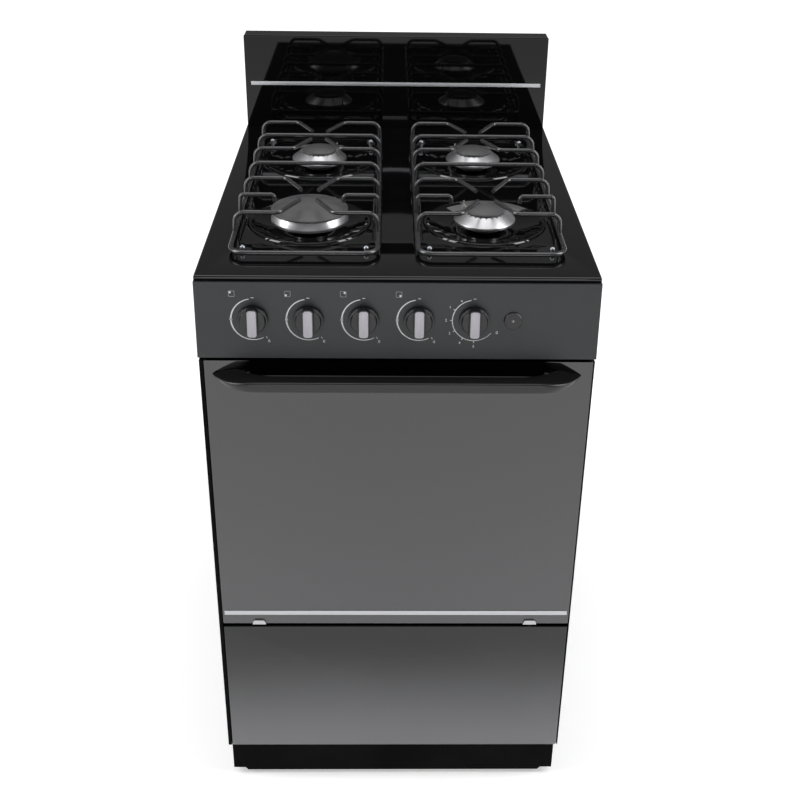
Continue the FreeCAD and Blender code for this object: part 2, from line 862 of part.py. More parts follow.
def mixer(index, x, y):
    """Gas and air mixing tube from a valve's jet to the cup under a burner."""
    cup_floor = mixer_z - mixer_tube_radius
    centre = vec(x, y, mixer_z)
    mouth = vec(knob_x[index], front_y + mixer_mouth_y, mixer_z)
    along = centre - mouth
    cup = rod(mixer_cup_radius, vec(x, y, cup_floor - sheet), vec(x, y, bowl_roof_z))
    tube = rod(mixer_tube_radius, mouth, centre)
    bell = Part.makeCone(mixer_tube_radius + mixer_bell_flare, mixer_tube_radius, mixer_bell_length, mouth, along)
    hollow = rod(neck_radius + clearance, vec(x, y, cup_floor), vec(x, y, bowl_roof_z + margin))
    bore = rod(mixer_bore_radius, mouth - vec(along.x, along.y, along.z).normalize() * margin, centre)
    return join([cup, tube, bell]).cut(group([hollow, bore]))


def spark_electrodes():
    """White ceramic sleeves with a steel tip wire, one beside each burner."""
    shapes = []
    for x, y, large in burner_places():
        ex, ey = electrode_place(x, y, large)
        sleeve_top = top_z + electrode_sleeve_rise
        sleeve = rod(electrode_radius, vec(ex, ey, top_z - electrode_root_drop), vec(ex, ey, sleeve_top))
        tip = rod(electrode_wire_radius, vec(ex, ey, sleeve_top - margin), vec(ex, ey, top_z + electrode_tip))
        collar = rod(electrode_radius + electrode_collar_width, vec(ex, ey, bowl_roof_z - electrode_collar_height),
                     vec(ex, ey, bowl_roof_z))
        shapes.append(join([sleeve, tip, collar]))
    return group(shapes)


# ================================================================ pan grates
def straight_bar(x, y):
    """A whole cross bar: up from one rail, over, and down to the other."""
    w = grate_half_width
    low = top_z + grate_frame_height
    top = top_z + grate_top_height
    return wire_through([vec(x - w, y, low), vec(x - w + grate_lean, y, top), vec(x + w - grate_lean, y, top),
                         vec(x + w, y, low)], wire_radius, grate_shoulder)


def finger(x, y, side, toward):
    """Half a cross bar whose end turns towards the burner."""
    w = grate_half_width
    low = top_z + grate_frame_height
    top = top_z + grate_top_height
    return wire_through([vec(x + side * w, y, low), vec(x + side * (w - grate_lean), y, top),
                         vec(x + side * finger_start, y, top),
                         vec(x + side * finger_end, y + toward * finger_reach, top)],
                        wire_radius, finger_bend)


def short_finger(x, y, side):
    """Half a cross bar that stops short of the burner with its end bent down."""
    w = grate_half_width
    low = top_z + grate_frame_height
    top = top_z + grate_top_height
    end = x + side * short_finger_end
    return wire_through([vec(x + side * w, y, low), vec(x + side * (w - grate_lean), y, top), vec(end, y, top),
                         vec(end - side * short_finger_lean, y, top - wire_radius - short_finger_drop)],
                        wire_radius, short_finger_bend)


def grate(x):
    """Wire grate: a rounded frame on four feet, and seven cross bars over two burners."""
    w = grate_half_width
    z = top_z + grate_frame_height
    y0 = front_y + grate_front
    y1 = front_y + grate_rear
    bars = []
    for side in (-1, 1):
        corners = [vec(x, y0, z), vec(x + side * w, y0, z), vec(x + side * w, y1, z), vec(x, y1, z)]
        bars.append(wire_through(corners, frame_wire_radius, grate_corner))
        for y in (y0 + grate_foot_inset, y1 - grate_foot_inset):
            bars.append(rod(wire_radius, vec(x + side * w, y, top_z + clearance), vec(x + side * w, y, z)))
    # Counted from the front: fingers back, short fingers, fingers forward, whole bar, fingers back,
    # whole bar over the rear burner, fingers forward.
    plan = ("back", "short", "forward", "whole", "back", "whole", "forward")
    for index in range(grate_bar_count):
        y = front_y + grate_first_bar + index * grate_bar_pitch
        kind = plan[index % len(plan)]
        if kind == "whole":
            bars.append(straight_bar(x, y))
            continue
        for side in (-1, 1):
            if kind == "short":
                bars.append(short_finger(x, y, side))
            else:
                bars.append(finger(x, y, side, 1 if kind == "back" else -1))
    return join(bars)


def grate_studs():
    """Small domed posts that keep the grates in place."""
    shapes = []
    ball_z = top_z + stud_height - stud_radius
    for side in (-1, 1):
        for dx in (-stud_offset, stud_offset):
            for dy in (stud_front, stud_rear):
                x = side * burner_x + dx
                y = front_y + dy
                base = top_z if dy < well_front else well_floor_z
                post = rod(stud_post_radius, vec(x, y, base), vec(x, y, ball_z))
                ball = Part.makeSphere(stud_radius, vec(x, y, ball_z))
                shapes.append(post.fuse(ball))
    return group(shapes)


# ================================================================ controls
def on_panel(x, drop, out):
    """A point on the control panel's face, moved out of it by a distance."""
    top = vec(x, front_y - panel_top_setout, body_top_z)
    down = (drop - lip_height) / math.cos(panel_tilt)
    return top - PANEL_UP * down + PANEL_OUT * out


def control_panel():
    """Folded sheet: tilted face, turned-back top, bottom and ends, with holes for stems and button."""
    top_front = on_panel(0, lip_height + panel_top_gap, 0)
    low_front = on_panel(0, panel_bottom_drop, 0)
    back = body_face_y
    outer = extrude_yz([(top_front.y, top_front.z), (low_front.y, low_front.z), (back, low_front.z),
                        (back, top_front.z)], -half_width, half_width)
    inner = extrude_yz([(top_front.y + sheet, top_front.z - sheet), (low_front.y + sheet, low_front.z + sheet),
                        (back + margin, low_front.z + sheet), (back + margin, top_front.z - sheet)],
                       -half_width + sheet, half_width - sheet)
    places = [(x, stem_hole_radius) for x in knob_x] + [(button_x, button_radius + clearance)]
    holes = [rod(radius, on_panel(x, knob_drop, -punch_depth), on_panel(x, knob_drop, punch_depth))
             for x, radius in places]
    return outer.cut(inner).cut(group(holes))


def panel_place(shape, x):
    """Move a shape made about +Z at the origin so that it stands on the panel at a knob's centre."""
    shape.rotate(ORIGIN, X_AXIS, 90 - panel_tilt_degrees)
    shape.translate(on_panel(x, knob_drop, 0))
    return shape


def knob(x):
    """Round skirt, low body and a wide grip bar with a pocket for its bright insert."""
    low = knob_gap
    skirt = low + knob_skirt_height
    top = low + knob_height
    grip_top = top + grip_height
    neck = knob_neck_radius
    body = turned([(0, low), (knob_radius - knob_bevel, low), (knob_radius, low + knob_bevel),
                   (knob_radius, skirt - knob_bevel), (knob_radius - knob_bevel, skirt), (neck, skirt),
                   (neck - knob_shoulder, top), (0, top)], 0, 0)
    half = grip_width / 2
    reach = grip_length / 2
    bar = rounded_block(-half, half, -reach, reach, skirt, grip_top, grip_corner)
    pocket = rounded_block(-half + insert_border, half - insert_border, -reach + insert_border,
                           reach - insert_border, grip_top - insert_depth / 2, grip_top + margin,
                           insert_corner + insert_gap)
    stem_hole = rod(stem_radius + running_clearance, vec(0, 0, low - margin), vec(0, 0, low + stem_in_knob))
    return panel_place(body.fuse(bar).cut(pocket).cut(stem_hole), x)


def knob_insert(x):
    """Bright plate let into the grip."""
    half = grip_width / 2 - insert_border - insert_gap
    reach = grip_length / 2 - insert_border - insert_gap
    low = knob_gap + knob_height + grip_height - insert_depth / 2
    plate = rounded_block(-half, half, -reach, reach, low, low + insert_depth, insert_corner)
    return panel_place(plate.makeFillet(insert_edge, top_edges(plate)), x)


def valve_stem(x):
    return panel_place(rod(stem_radius, vec(0, 0, -valve_front - stem_in_valve),
                           vec(0, 0, knob_gap + stem_in_knob)), x)


def stem_bore(x):
    """Room in a valve for its stem, with space for the push."""
    return panel_place(rod(stem_radius + running_clearance, vec(0, 0, margin - valve_front),
                           vec(0, 0, -valve_front - stem_in_valve - knob_travel - stem_end_gap)), x)


def manifold_room():
    """The manifold's outline, with a hair's clearance, cut from what is clamped to it."""
    return rod(manifold_radius + manifold_fit, vec(-half_width, manifold_y, manifold_z),
               vec(half_width, manifold_y, manifold_z))


def gas_valve(x):
    """Valve body on the manifold, with a jet over the pipe that points into its mixing tube."""
    body = panel_place(rod(valve_radius, vec(0, 0, -valve_front), vec(0, 0, -valve_front - valve_length)), x)
    half = valve_arm_half
    arm_front = front_y + valve_front + half
    arm_back = manifold_y + valve_arm_lap
    arm = block(x - half, x + half, arm_front, arm_back, mixer_z - half, mixer_z + valve_arm_rise)
    post = block(x - half, x + half, arm_front, arm_front + valve_post_depth, mixer_z - valve_post_drop, mixer_z)
    jet_length = front_y + mixer_mouth_y - jet_gap - arm_back
    jet = Part.makeCone(jet_root_radius, jet_tip_radius, jet_length, vec(x, arm_back, mixer_z), Y_AXIS)
    return join([body, arm, post, jet]).cut(group([stem_bore(x), manifold_room()]))


def gas_manifold():
    """Pipe across the range behind the panel, and its run back to the inlet fitting."""
    left = vec(knob_x[0] - manifold_past_knob, manifold_y, manifold_z)
    corner = vec(inlet_x, manifold_y, manifold_z)
    end = vec(inlet_x, back_panel_y - inlet_setback, manifold_z)
    return wire_through([left, corner, end], manifold_radius, manifold_bend)


def gas_inlet():
    """Hexagon fitting with a half inch pipe thread, through the back panel."""
    start = back_panel_y - inlet_setback
    corner_radius = inlet_hex_across / math.sqrt(3)
    corners = []
    for index in range(7):
        angle = math.radians(60 * index + 30)
        corners.append(vec(inlet_x + corner_radius * math.cos(angle), start,
                           manifold_z + corner_radius * math.sin(angle)))
    nut = Part.Face(Part.makePolygon(corners)).extrude(vec(0, inlet_hex_length, 0))
    end = rear_y - clearance
    thread = rod(inlet_thread_radius, vec(inlet_x, start + inlet_hex_length, manifold_z),
                 vec(inlet_x, end, manifold_z))
    bore = rod(inlet_bore_radius, vec(inlet_x, start + inlet_root, manifold_z),
               vec(inlet_x, end + margin, manifold_z))
    return nut.fuse(thread).cut(bore)


def oven_thermostat():
    """Thermostat valve on the manifold, with its capillary and the bulb in the cavity."""
    half = thermostat_half
    x = oven_knob_x
    body = panel_place(block(-half, half, -half, half, -valve_front - valve_length, -valve_front), x)
    arm_x = x + half
    arm_z = manifold_z + manifold_radius + thermostat_arm_gap
    outlet = block(arm_x - thermostat_arm, arm_x, manifold_y - manifold_radius,
                   supply_pipe_y + supply_pipe_radius + thermostat_arm_overlap, arm_z, arm_z + thermostat_arm)
    drop = block(arm_x - thermostat_arm, arm_x, supply_pipe_y - thermostat_arm, supply_pipe_y + thermostat_arm,
                 supply_pipe_z - thermostat_arm, arm_z + thermostat_arm_overlap)
    over = cavity_top_z + insulation_thickness + capillary_rise
    y_back = front_y + valve_front + valve_length - capillary_inset
    root_z = top_z - knob_drop - half
    capillary = wire_through([vec(x, y_back, root_z), vec(x, y_back, over), vec(x, bulb_y, over),
                              vec(x, bulb_y, bulb_z), vec(x, bulb_y + bulb_start, bulb_z)],
                             capillary_radius, capillary_bend)
    bulb_end = bulb_y + bulb_start + bulb_length
    bulb = rod(bulb_radius, vec(x, bulb_y + bulb_start, bulb_z), vec(x, bulb_end, bulb_z))
    clip_y = bulb_y + bulb_start + bulb_length / 2
    clip = block(x - bulb_clip / 2, x + bulb_clip / 2, clip_y - bulb_clip, clip_y, bulb_z, cavity_top_z)
    return join([body, outlet, drop, capillary, bulb, clip]).cut(group([stem_bore(x), manifold_room()]))


def ignition_button():
    """Round push button with a collar behind the panel that stops it coming out."""
    low = -sheet - button_length
    dish_z = button_proud - button_dish_depth
    body = turned([(0, low), (button_radius, low), (button_radius, button_proud - button_bevel),
                   (button_radius - button_bevel, button_proud), (button_dish_radius, dish_z), (0, dish_z)], 0, 0)
    collar_top = -sheet - clearance
    collar = rod(button_radius + button_collar, vec(0, 0, collar_top - button_collar_thickness),
                 vec(0, 0, collar_top))
    return panel_place(body.fuse(collar), button_x)


def button_switch():
    """Switch housing behind the panel that holds the button and its spring."""
    top = -sheet - running_clearance
    low = -sheet - button_length - button_travel - button_spring_room - button_housing_floor
    collar_room = -sheet - clearance * 2 - button_collar_thickness - button_travel
    housing = rod(button_radius + button_collar + button_housing_wall, vec(0, 0, low), vec(0, 0, top))
    neck = rod(button_radius + running_clearance * 2, vec(0, 0, low + button_housing_floor),
               vec(0, 0, top + margin))
    room = rod(button_radius + button_collar + clearance, vec(0, 0, collar_room), vec(0, 0, top + margin))
    return panel_place(housing.cut(group([neck, room])), button_x)


def spark_module():
    """Moulded box on the right side panel, with four spark outlets on top."""
    y0 = front_y + module_setback
    top = manifold_z - manifold_radius - module_gap
    box = rounded_block(body_inner - module_depth, body_inner, y0, y0 + module_length,
                        top - module_height, top, module_corner)
    pin_x = body_inner - module_depth + module_pin_inset
    pins = []
    for index in range(module_pins):
        y = y0 + module_pin_start + index * module_pin_pitch
        pins.append(rod(module_pin_radius, vec(pin_x, y, top - margin), vec(pin_x, y, top + module_pin_height)))
    return join([box] + pins)


# ================================================================ backguard
def backguard():
    """Folded housing at the rear of the cooktop, open underneath, with vent slots behind."""
    x = half_width - guard_inset
    top = top_z + backguard_height
    shell = block(-x, x, guard_y, rear_y, top_z, top)
    shell = shell.makeFillet(guard_edge_radius, top_edges(shell))
    room = block(-x + sheet, x - sheet, guard_y + sheet, rear_y - sheet, top_z - margin, top - sheet)
    vent_z = top_z + vent_rise
    vents = []
    for index in range(vent_count):
        vent_x = (index - (vent_count - 1) / 2) * vent_pitch
        vents.append(block(vent_x - vent_length / 2, vent_x + vent_length / 2, rear_y - sheet - margin,
                           rear_y + margin, vent_z, vent_z + vent_height))
    return shell.cut(room).cut(group(vents))


def backguard_line():
    """Thin bright strip across the backguard."""
    x = half_width - guard_inset - guard_line_inset
    z = top_z + guard_line_height
    return block(-x, x, guard_y - trim_thickness, guard_y, z, z + guard_line_width)


# ================================================================ door
def door_glass():
    return rounded_block(front_left_x, front_right_x, door_face_y, glass_back_y, door_bottom_z, door_top_z,
                         glass_corner, Y_AXIS)


def hinge_notches():
    """Room in the door for the hinge eyes as the door swings down."""
    half = hinge_slot_half + hinge_plate
    return group([block(side * hinge_x - half, side * hinge_x + half, hinge_y - hinge_eye_radius - hinge_clear,
                        door_back_y + margin, door_bottom_z - margin, hinge_z + hinge_eye_radius + 2 * hinge_clear)
                  for side in (-1, 1)])


def door_frame():
    """Pressed steel pan behind the glass: back wall, four sides and a lip for the glass."""
    x0 = front_left_x + door_frame_inset
    x1 = front_right_x - door_frame_inset
    z0 = door_bottom_z + door_frame_foot
    z1 = door_top_z - door_frame_inset
    pan = block(x0, x1, glass_back_y, door_back_y, z0, z1)
    inside = block(x0 + sheet, x1 - sheet, glass_back_y + sheet, door_back_y - sheet, z0 + sheet, z1 - sheet)
    window = block(x0 + door_frame_side_lip, x1 - door_frame_side_lip, glass_back_y - margin,
                   glass_back_y + sheet + margin, z0 + door_frame_end_lip, z1 - door_frame_end_lip)
    return pan.cut(inside).cut(window).cut(hinge_notches())


def door_insulation():
    """Glass wool pad that fills the door pan."""
    gap = sheet + clearance
    side = door_frame_inset + gap
    z0 = hinge_z + hinge_eye_radius + hinge_arm_margin + hinge_clear
    return block(front_left_x + side, front_right_x - side, glass_back_y + gap, door_back_y - gap,
                 z0, door_top_z - side)


def door_seal():
    """Heat-proof rope seal round the cavity's mouth, fixed to the door."""
    x = cavity_half_width + seal_outset
    z0 = oven_floor_z - seal_outset
    z1 = cavity_top_z + seal_outset
    y0 = door_back_y
    y1 = cavity_face_y - clearance
    inner = seal_width
    ring = rounded_block(-x, x, y0, y1, z0, z1, seal_outer_corner, Y_AXIS)
    hole = rounded_block(-x + inner, x - inner, y0 - margin, y1 + margin, z0 + inner, z1 - inner,
                         seal_outer_corner - inner, Y_AXIS)
    return ring.cut(hole)


def handle_plan(z0):
    """The handle seen from above: a straight grip whose ends sweep back to the glass."""
    y_out = front_y - handle_reach
    y_in = y_out + handle_thickness
    y_door = door_face_y
    tip = front_width / 2 - handle_end_inset
    straight = tip - handle_bend_length
    root = tip - handle_root_length
    inner_straight = root - handle_inner_bend

    def at(x, y):
        return vec(x, y, z0)

    edges = []
    for side in (1, -1):
        outer_middle = at(side * (straight + handle_bend_length * sweep_along),
                          y_out + (y_door - y_out) * sweep_across)
        inner_middle = at(side * (inner_straight + handle_inner_bend * inner_sweep_along),
                          y_in + (y_door - y_in) * sweep_across)
        edges.append(Part.Arc(at(side * straight, y_out), outer_middle, at(side * tip, y_door)).toShape())
        edges.append(Part.Arc(at(side * inner_straight, y_in), inner_middle, at(side * root, y_door)).toShape())
        edges.append(Part.LineSegment(at(side * tip, y_door), at(side * root, y_door)).toShape())
    edges.append(Part.LineSegment(at(-straight, y_out), at(straight, y_out)).toShape())
    edges.append(Part.LineSegment(at(-inner_straight, y_in), at(inner_straight, y_in)).toShape())
    return Part.Face(Part.Wire(Part.__sortEdges__(edges)))


def handle_front(y, z0):
    """The handle seen from the front: its ends taper to a point on the glass."""
    tip = front_width / 2 - handle_end_inset
    shoulder = tip - handle_taper_length
    z_tip = z0 + handle_tip_rise
    z_top = z0 + handle_height
    z_low_middle = z0 + handle_tip_rise * taper_across
    z_high_middle = z_top - (z_top - z_tip) * taper_across
    edges = [Part.LineSegment(vec(-shoulder, y, z), vec(shoulder, y, z)).toShape() for z in (z0, z_top)]
    for side in (1, -1):
        middle_x = side * (shoulder + handle_taper_length * taper_along)
        point = vec(side * tip, y, z_tip)
        for z, z_middle in ((z0, z_low_middle), (z_top, z_high_middle)):
            edges.append(Part.Arc(vec(side * shoulder, y, z), vec(middle_x, y, z_middle), point).toShape())
    return Part.Face(Part.Wire(Part.__sortEdges__(edges)))


def door_handle():
    """Bar handle: what its outline from above and its outline from the front have in common."""
    z0 = top_z - handle_drop - handle_height
    bar = handle_plan(z0).extrude(vec(0, 0, handle_height))
    start = front_y - handle_reach - margin
    return bar.common(handle_front(start, z0).extrude(vec(0, handle_reach + 2 * margin, 0)))


def door_line():
    """Thin bright strip along the foot of the door glass."""
    z = top_z - door_line_drop - door_line_height / 2
    return block(front_left_x + door_line_inset, front_right_x - door_line_inset,
                 door_face_y - trim_thickness, door_face_y, z, z + door_line_height)


def door_clips():
    """Two small half-round clips that hold the glass at its lower edge."""
    shapes = []
    for side in (-1, 1):
        x = side * (front_width / 2 - clip_end_inset)
        disc = Part.makeCylinder(clip_radius, clip_thickness, vec(x, door_face_y, door_bottom_z), Y_AXIS * -1)
        reach = clip_radius + margin
        keep = block(x - reach, x + reach, door_face_y - reach, door_face_y + margin, door_bottom_z,
                     door_bottom_z + clip_height)
        shapes.append(disc.common(keep))
    return group(shapes)


def hinge_arms():
    """Door half of each hinge: a plate with the pivot pin, screwed into the door pan."""
    shapes = []
    y0 = glass_back_y + sheet
    y1 = hinge_y + hinge_arm_margin
    top = hinge_z + hinge_eye_radius + hinge_arm_margin
    foot_z = top - hinge_plate
    for side in (-1, 1):
        x = side * hinge_x
        x0 = x + side * (hinge_plate / 2 + clearance)
        x1 = x0 + side * hinge_plate
        low = min(x0, x1)
        high = low + hinge_plate
        plate = block(low, high, y0, y1, hinge_z - hinge_eye_radius, top)
        foot = block(low - hinge_foot_width, high + hinge_foot_width, y0, y1, foot_z, top)
        pin = rod(hinge_pin_radius, vec(x - side * (hinge_plate / 2 + margin), hinge_y, hinge_z),
                  vec(x1, hinge_y, hinge_z))
        shapes.append(join([plate, foot, pin]))
    return group(shapes)


def hinge_receivers():
    """Body half of each hinge: a plate through the cavity flange with an eye for the pin."""
    shapes = []
    half = hinge_arm_margin
    base_y = cavity_face_y + sheet
    for side in (-1, 1):
        x0 = side * hinge_x - hinge_plate / 2
        x1 = x0 + hinge_plate
        arm = block(x0, x1, hinge_y, cavity_face_y + hinge_receiver_depth, hinge_z - half, hinge_z + half)
        eye = Part.makeCylinder(hinge_eye_radius, hinge_plate, vec(x0, hinge_y, hinge_z), X_AXIS)
        base = block(x0 - hinge_base_width, x1 + hinge_base_width, base_y, base_y + hinge_base_thickness,
                     hinge_z - hinge_base_half_height, hinge_z + hinge_base_half_height)
        hole = Part.makeCylinder(hinge_pin_radius + running_clearance, hinge_plate + 2 * margin,
                                 vec(x0 - margin, hinge_y, hinge_z), X_AXIS)
        shapes.append(join([arm, eye, base]).cut(hole))
    return group(shapes)


# ================================================================ drawer
def drawer_front():
    """Folded panel with turned-back edges."""
    y1 = body_face_y - drawer_face_gap
    panel = block(front_left_x, front_right_x, door_face_y, y1, drawer_bottom_z, drawer_top_z)
    room = block(front_left_x + sheet, front_right_x - sheet, door_face_y + sheet, y1 + margin,
                 drawer_bottom_z + sheet, drawer_top_z - sheet)
    return panel.cut(room)


def drawer_box():
    """Open tray behind the front, with lips that ride on the runners."""
    x = drawer_box_half_width
    y0 = door_face_y + sheet
    y1 = y0 + drawer_box_depth
    z0 = drawer_bottom_z + drawer_box_bottom_gap
    z1 = drawer_box_top_z
    tray = block(-x, x, y0, y1, z0, z1)
    room = block(-x + sheet, x - sheet, y0 + sheet, y1 - sheet, z0 + sheet, z1 + margin)
    lip = block(x - sheet, x + drawer_lip, cavity_face_y + drawer_lip_start, y1, z1 - sheet, z1)
    return join([tray.cut(room), lip, mirrored(lip)])


def drawer_runners():
    """A steel channel on each side panel under the drawer's lip."""
    top = drawer_box_top_z - sheet - clearance
    x0 = drawer_box_half_width + runner_gap
    y0 = cavity_face_y
    y1 = door_face_y + sheet + drawer_box_depth + runner_past_drawer
    channel = block(x0, body_inner, y0, y1, top - runner_height, top)
    room = block(x0 + sheet, body_inner - sheet, y0 - margin, y1 + margin, top - runner_height - margin, top - sheet)
    return both_sides(channel.cut(room))


# ================================================================ fasteners
def body_screws():
    """Pan head screws along the side panels and the back."""
    shapes = []
    side_heights = (body_bottom_z + side_screw_inset, body_top_z - side_screw_inset)
    rear_heights = (body_bottom_z + rear_screw_inset, (body_bottom_z + body_top_z) / 2,
                    body_top_z - rear_screw_inset)
    for side in (-1, 1):
        for y in (body_face_y + side_screw_end, rear_y - side_screw_end):
            for z in side_heights:
                start = vec(side * body_half, y, z)
                shapes.append(Part.makeCylinder(screw_radius, body_inset, start, X_AXIS * side))
        for z in rear_heights:
            start = vec(side * (body_half - rear_flange + rear_screw_from_flange), back_panel_y + 2 * sheet, z)
            shapes.append(Part.makeCylinder(screw_radius, screw_head_height, start, Y_AXIS))
    return group(shapes)


# ================================================================ write every sub-part
side_right = side_panel()
save("side_panel_right", side_right)
save("side_panel_left", mirrored(side_right))
save("back_panel", back_panel())
save("base_frame", base_frame())
save("feet", feet())
save("plinth", plinth())
save("oven_cavity", oven_cavity())
save("oven_insulation", oven_insulation())
save("oven_floor", oven_floor())
save("oven_burner", oven_burner())
save("oven_supply_pipe", oven_supply_pipe())
save("rack_guides", rack_guides())
save("oven_rack", oven_rack())
save("cooktop_panel", cooktop_panel())
save("burner_heads", group(burner_head(x, y, large) for x, y, large in burner_places()))
save("burner_caps", group(burner_cap(x, y, large) for x, y, large in burner_places()))
save("burner_mixers", group(mixer(i, x, y) for i, (x, y, large) in enumerate(burner_places())))
save("spark_electrodes", spark_electrodes())
save("grate_left", grate(-burner_x))
save("grate_right", grate(burner_x))
save("grate_studs", grate_studs())
save("control_panel", control_panel())
save("gas_manifold", gas_manifold())
save("gas_inlet", gas_inlet())
save("gas_valves", group(gas_valve(x) for x in knob_x[:-1]))
save("oven_thermostat", oven_thermostat())
save("ignition_button", ignition_button())
save("button_switch", button_switch())
save("spark_module", spark_module())
for place, x in zip(knob_names, knob_x):
    save("knob_" + place, knob(x))
    save("knob_insert_" + place, knob_insert(x))
    save("valve_stem_" + place, valve_stem(x))
save("backguard", backguard())
save("backguard_line", backguard_line())
save("door_glass", door_glass())
save("door_frame", door_frame())
save("door_insulation", door_insulation())
save("door_seal", door_seal())
save("door_handle", door_handle())
save("door_line", door_line())
save("door_clips", door_clips())
save("hinge_arms", hinge_arms())
save("hinge_receivers", hinge_receivers())
save("drawer_front", drawer_front())
save("drawer_box", drawer_box())
save("drawer_runners", drawer_runners())
save("body_screws", body_screws())
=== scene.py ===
import json
import math

import bmesh
import bpy
from mathutils import Matrix, Vector

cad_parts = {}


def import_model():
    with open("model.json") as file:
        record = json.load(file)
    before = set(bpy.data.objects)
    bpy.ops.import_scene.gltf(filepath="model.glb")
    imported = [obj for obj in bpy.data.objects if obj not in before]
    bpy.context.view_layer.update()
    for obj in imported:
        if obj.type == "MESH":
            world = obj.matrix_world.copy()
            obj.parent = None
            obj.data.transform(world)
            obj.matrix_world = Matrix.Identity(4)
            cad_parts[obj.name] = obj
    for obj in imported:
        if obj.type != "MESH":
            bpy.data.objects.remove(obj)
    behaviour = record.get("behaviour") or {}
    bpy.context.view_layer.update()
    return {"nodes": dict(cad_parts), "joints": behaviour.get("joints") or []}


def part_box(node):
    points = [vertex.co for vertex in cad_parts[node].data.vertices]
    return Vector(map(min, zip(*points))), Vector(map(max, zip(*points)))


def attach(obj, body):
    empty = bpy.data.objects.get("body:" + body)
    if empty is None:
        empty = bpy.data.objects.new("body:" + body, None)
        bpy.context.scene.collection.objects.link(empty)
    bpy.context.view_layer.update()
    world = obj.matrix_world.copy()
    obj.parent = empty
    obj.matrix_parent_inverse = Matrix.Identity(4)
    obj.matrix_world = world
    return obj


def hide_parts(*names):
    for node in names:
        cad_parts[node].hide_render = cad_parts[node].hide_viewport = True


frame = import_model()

# Free-standing gas range. Metres: +X to the right seen from the front, +Y to the wall, +Z up.
MM = 0.001

# ---------------------------------------------------------------- places taken from the frame
top_low, top_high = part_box("cooktop_panel")
half_width = top_high.x
front_y = top_low.y
rear_y = top_high.y
top_z = top_high.z
burner_x = (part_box("grate_right")[0].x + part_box("grate_right")[1].x) / 2
glass_low, glass_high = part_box("door_glass")
handle_low, handle_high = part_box("door_handle")
drawer_low, drawer_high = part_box("drawer_front")
turns = {j["child"]: j for j in frame["joints"] if j["name"].endswith("_turn")}
knob_places = ("rear_left", "front_left", "rear_right", "front_right", "oven")

# ---------------------------------------------------------------- pressed cooktop
sheet = 1.5 * MM
edge_bend = 2.5 * MM
lip_height = 6.0 * MM
corner_bend = 2.5 * MM
well_half_width = 88.0 * MM
well_front = 98.0 * MM
well_rear = 550.0 * MM
well_depth = 5.0 * MM
well_corner = 24.5 * MM
well_bend = 1.2 * MM
front_burner_y = front_y + 196.0 * MM
rear_burner_y = front_y + 453.0 * MM
neck_hole = 20.3 * MM
bowl_steps = [(85.5, 0), (84.0, 2.0), (80.5, 2.0), (76.5, -0.6), (65.0, -4.4), (59.5, -5.8), (47.0, -8.0)]

# ---------------------------------------------------------------- burners
large_head = 53.5 * MM
small_head = 42.5 * MM
large_crown = 49.5 * MM
small_crown = 29.0 * MM
skirt_half_height = 2.0 * MM
head_height = 12.4 * MM
head_floor = 5.5 * MM
crown_wall = 5.0 * MM
foot_outset = 2.0 * MM
neck_play = 0.3 * MM
neck_wall = 2.0 * MM
neck_length = 12.0 * MM
large_cap = 53.0 * MM
small_cap = 26.0 * MM
large_dome = 10.0 * MM
small_dome = 5.0 * MM
cap_seat = 12.5 * MM
cap_rim = 3.0 * MM
slot_count = 24
slot_width = 2.0 * MM
slot_depth = 1.0 * MM

# ---------------------------------------------------------------- strips on the front
door_line_height = 7.4 * MM
guard_line_height = 6.3 * MM
trim_gap = 0.8 * MM
trim_setback = 0.5 * MM
trim_bend = 0.4 * MM
line_bend = 0.3 * MM
line_corner = 1.0 * MM
# Half width of the painted shade on the door glass above the handle.
handle_shade_reach = 188.0 * MM

# ---------------------------------------------------------------- handle
handle_depth = 21.0 * MM
handle_bend_length = 60.0 * MM
handle_root_length = 32.0 * MM
handle_inner_bend = 50.0 * MM
handle_taper_length = 62.0 * MM
handle_tip_rise = 3.0 * MM
handle_edge = 0.4 * MM
handle_stations = 120
# How hard each sweep hugs its straight run, and how square the section is: 1 is round, 0 is square.
outer_sweep = 2.6
inner_sweep = 2.2
taper_sweep = 1.7
section_power = 0.3

# ---------------------------------------------------------------- knobs and their printed dials
knob_radius = 19.0 * MM
skirt_height = 3.4 * MM
body_height = 7.4 * MM
body_top_radius = 15.5 * MM
grip_half_width = 7.5 * MM
grip_half_length = 19.0 * MM
grip_corner = 5.0 * MM
plate_half_width = 5.8 * MM
plate_half_length = 17.9 * MM
plate_corner = 3.6 * MM
dial_radius = 27.6 * MM
number_radius = 35.5 * MM
arc_start = 9
gas_arc_end = 207
oven_arc_end = 232
first_number = 60
number_pitch = 30
number_height = 5.2 * MM
ink_low = 0.02 * MM
ink_high = 0.12 * MM
icon_left = 25.5 * MM
icon_up = 34.5 * MM
icon_half = 3.6 * MM
button_face = 1.9 * MM

# ---------------------------------------------------------------- screws
screw_radius = 4.0 * MM
recess_width = 1.1 * MM
side_screw_height = 1.0 * MM
rear_screw_height = 2.0 * MM


# ================================================================ small tools
def linear(hex_colour):
    """An sRGB hex colour as linear red, green, blue and alpha."""
    parts = [int(hex_colour[i:i + 2], 16) / 255 for i in (1, 3, 5)]
    return tuple(p / 12.92 if p <= 0.04045 else ((p + 0.055) / 1.055) ** 2.4 for p in parts) + (1.0,)


def add(tree, kind, inputs=None, **settings):
    """Add a node with its settings; each input gets a value or the socket that feeds it."""
    node = tree.nodes.new(kind)
    for name, value in settings.items():
        setattr(node, name, value)
    for name, value in (inputs or {}).items():
        if isinstance(value, bpy.types.NodeSocket):
            tree.links.new(value, node.inputs[name])
        else:
            node.inputs[name].default_value = value
    return node


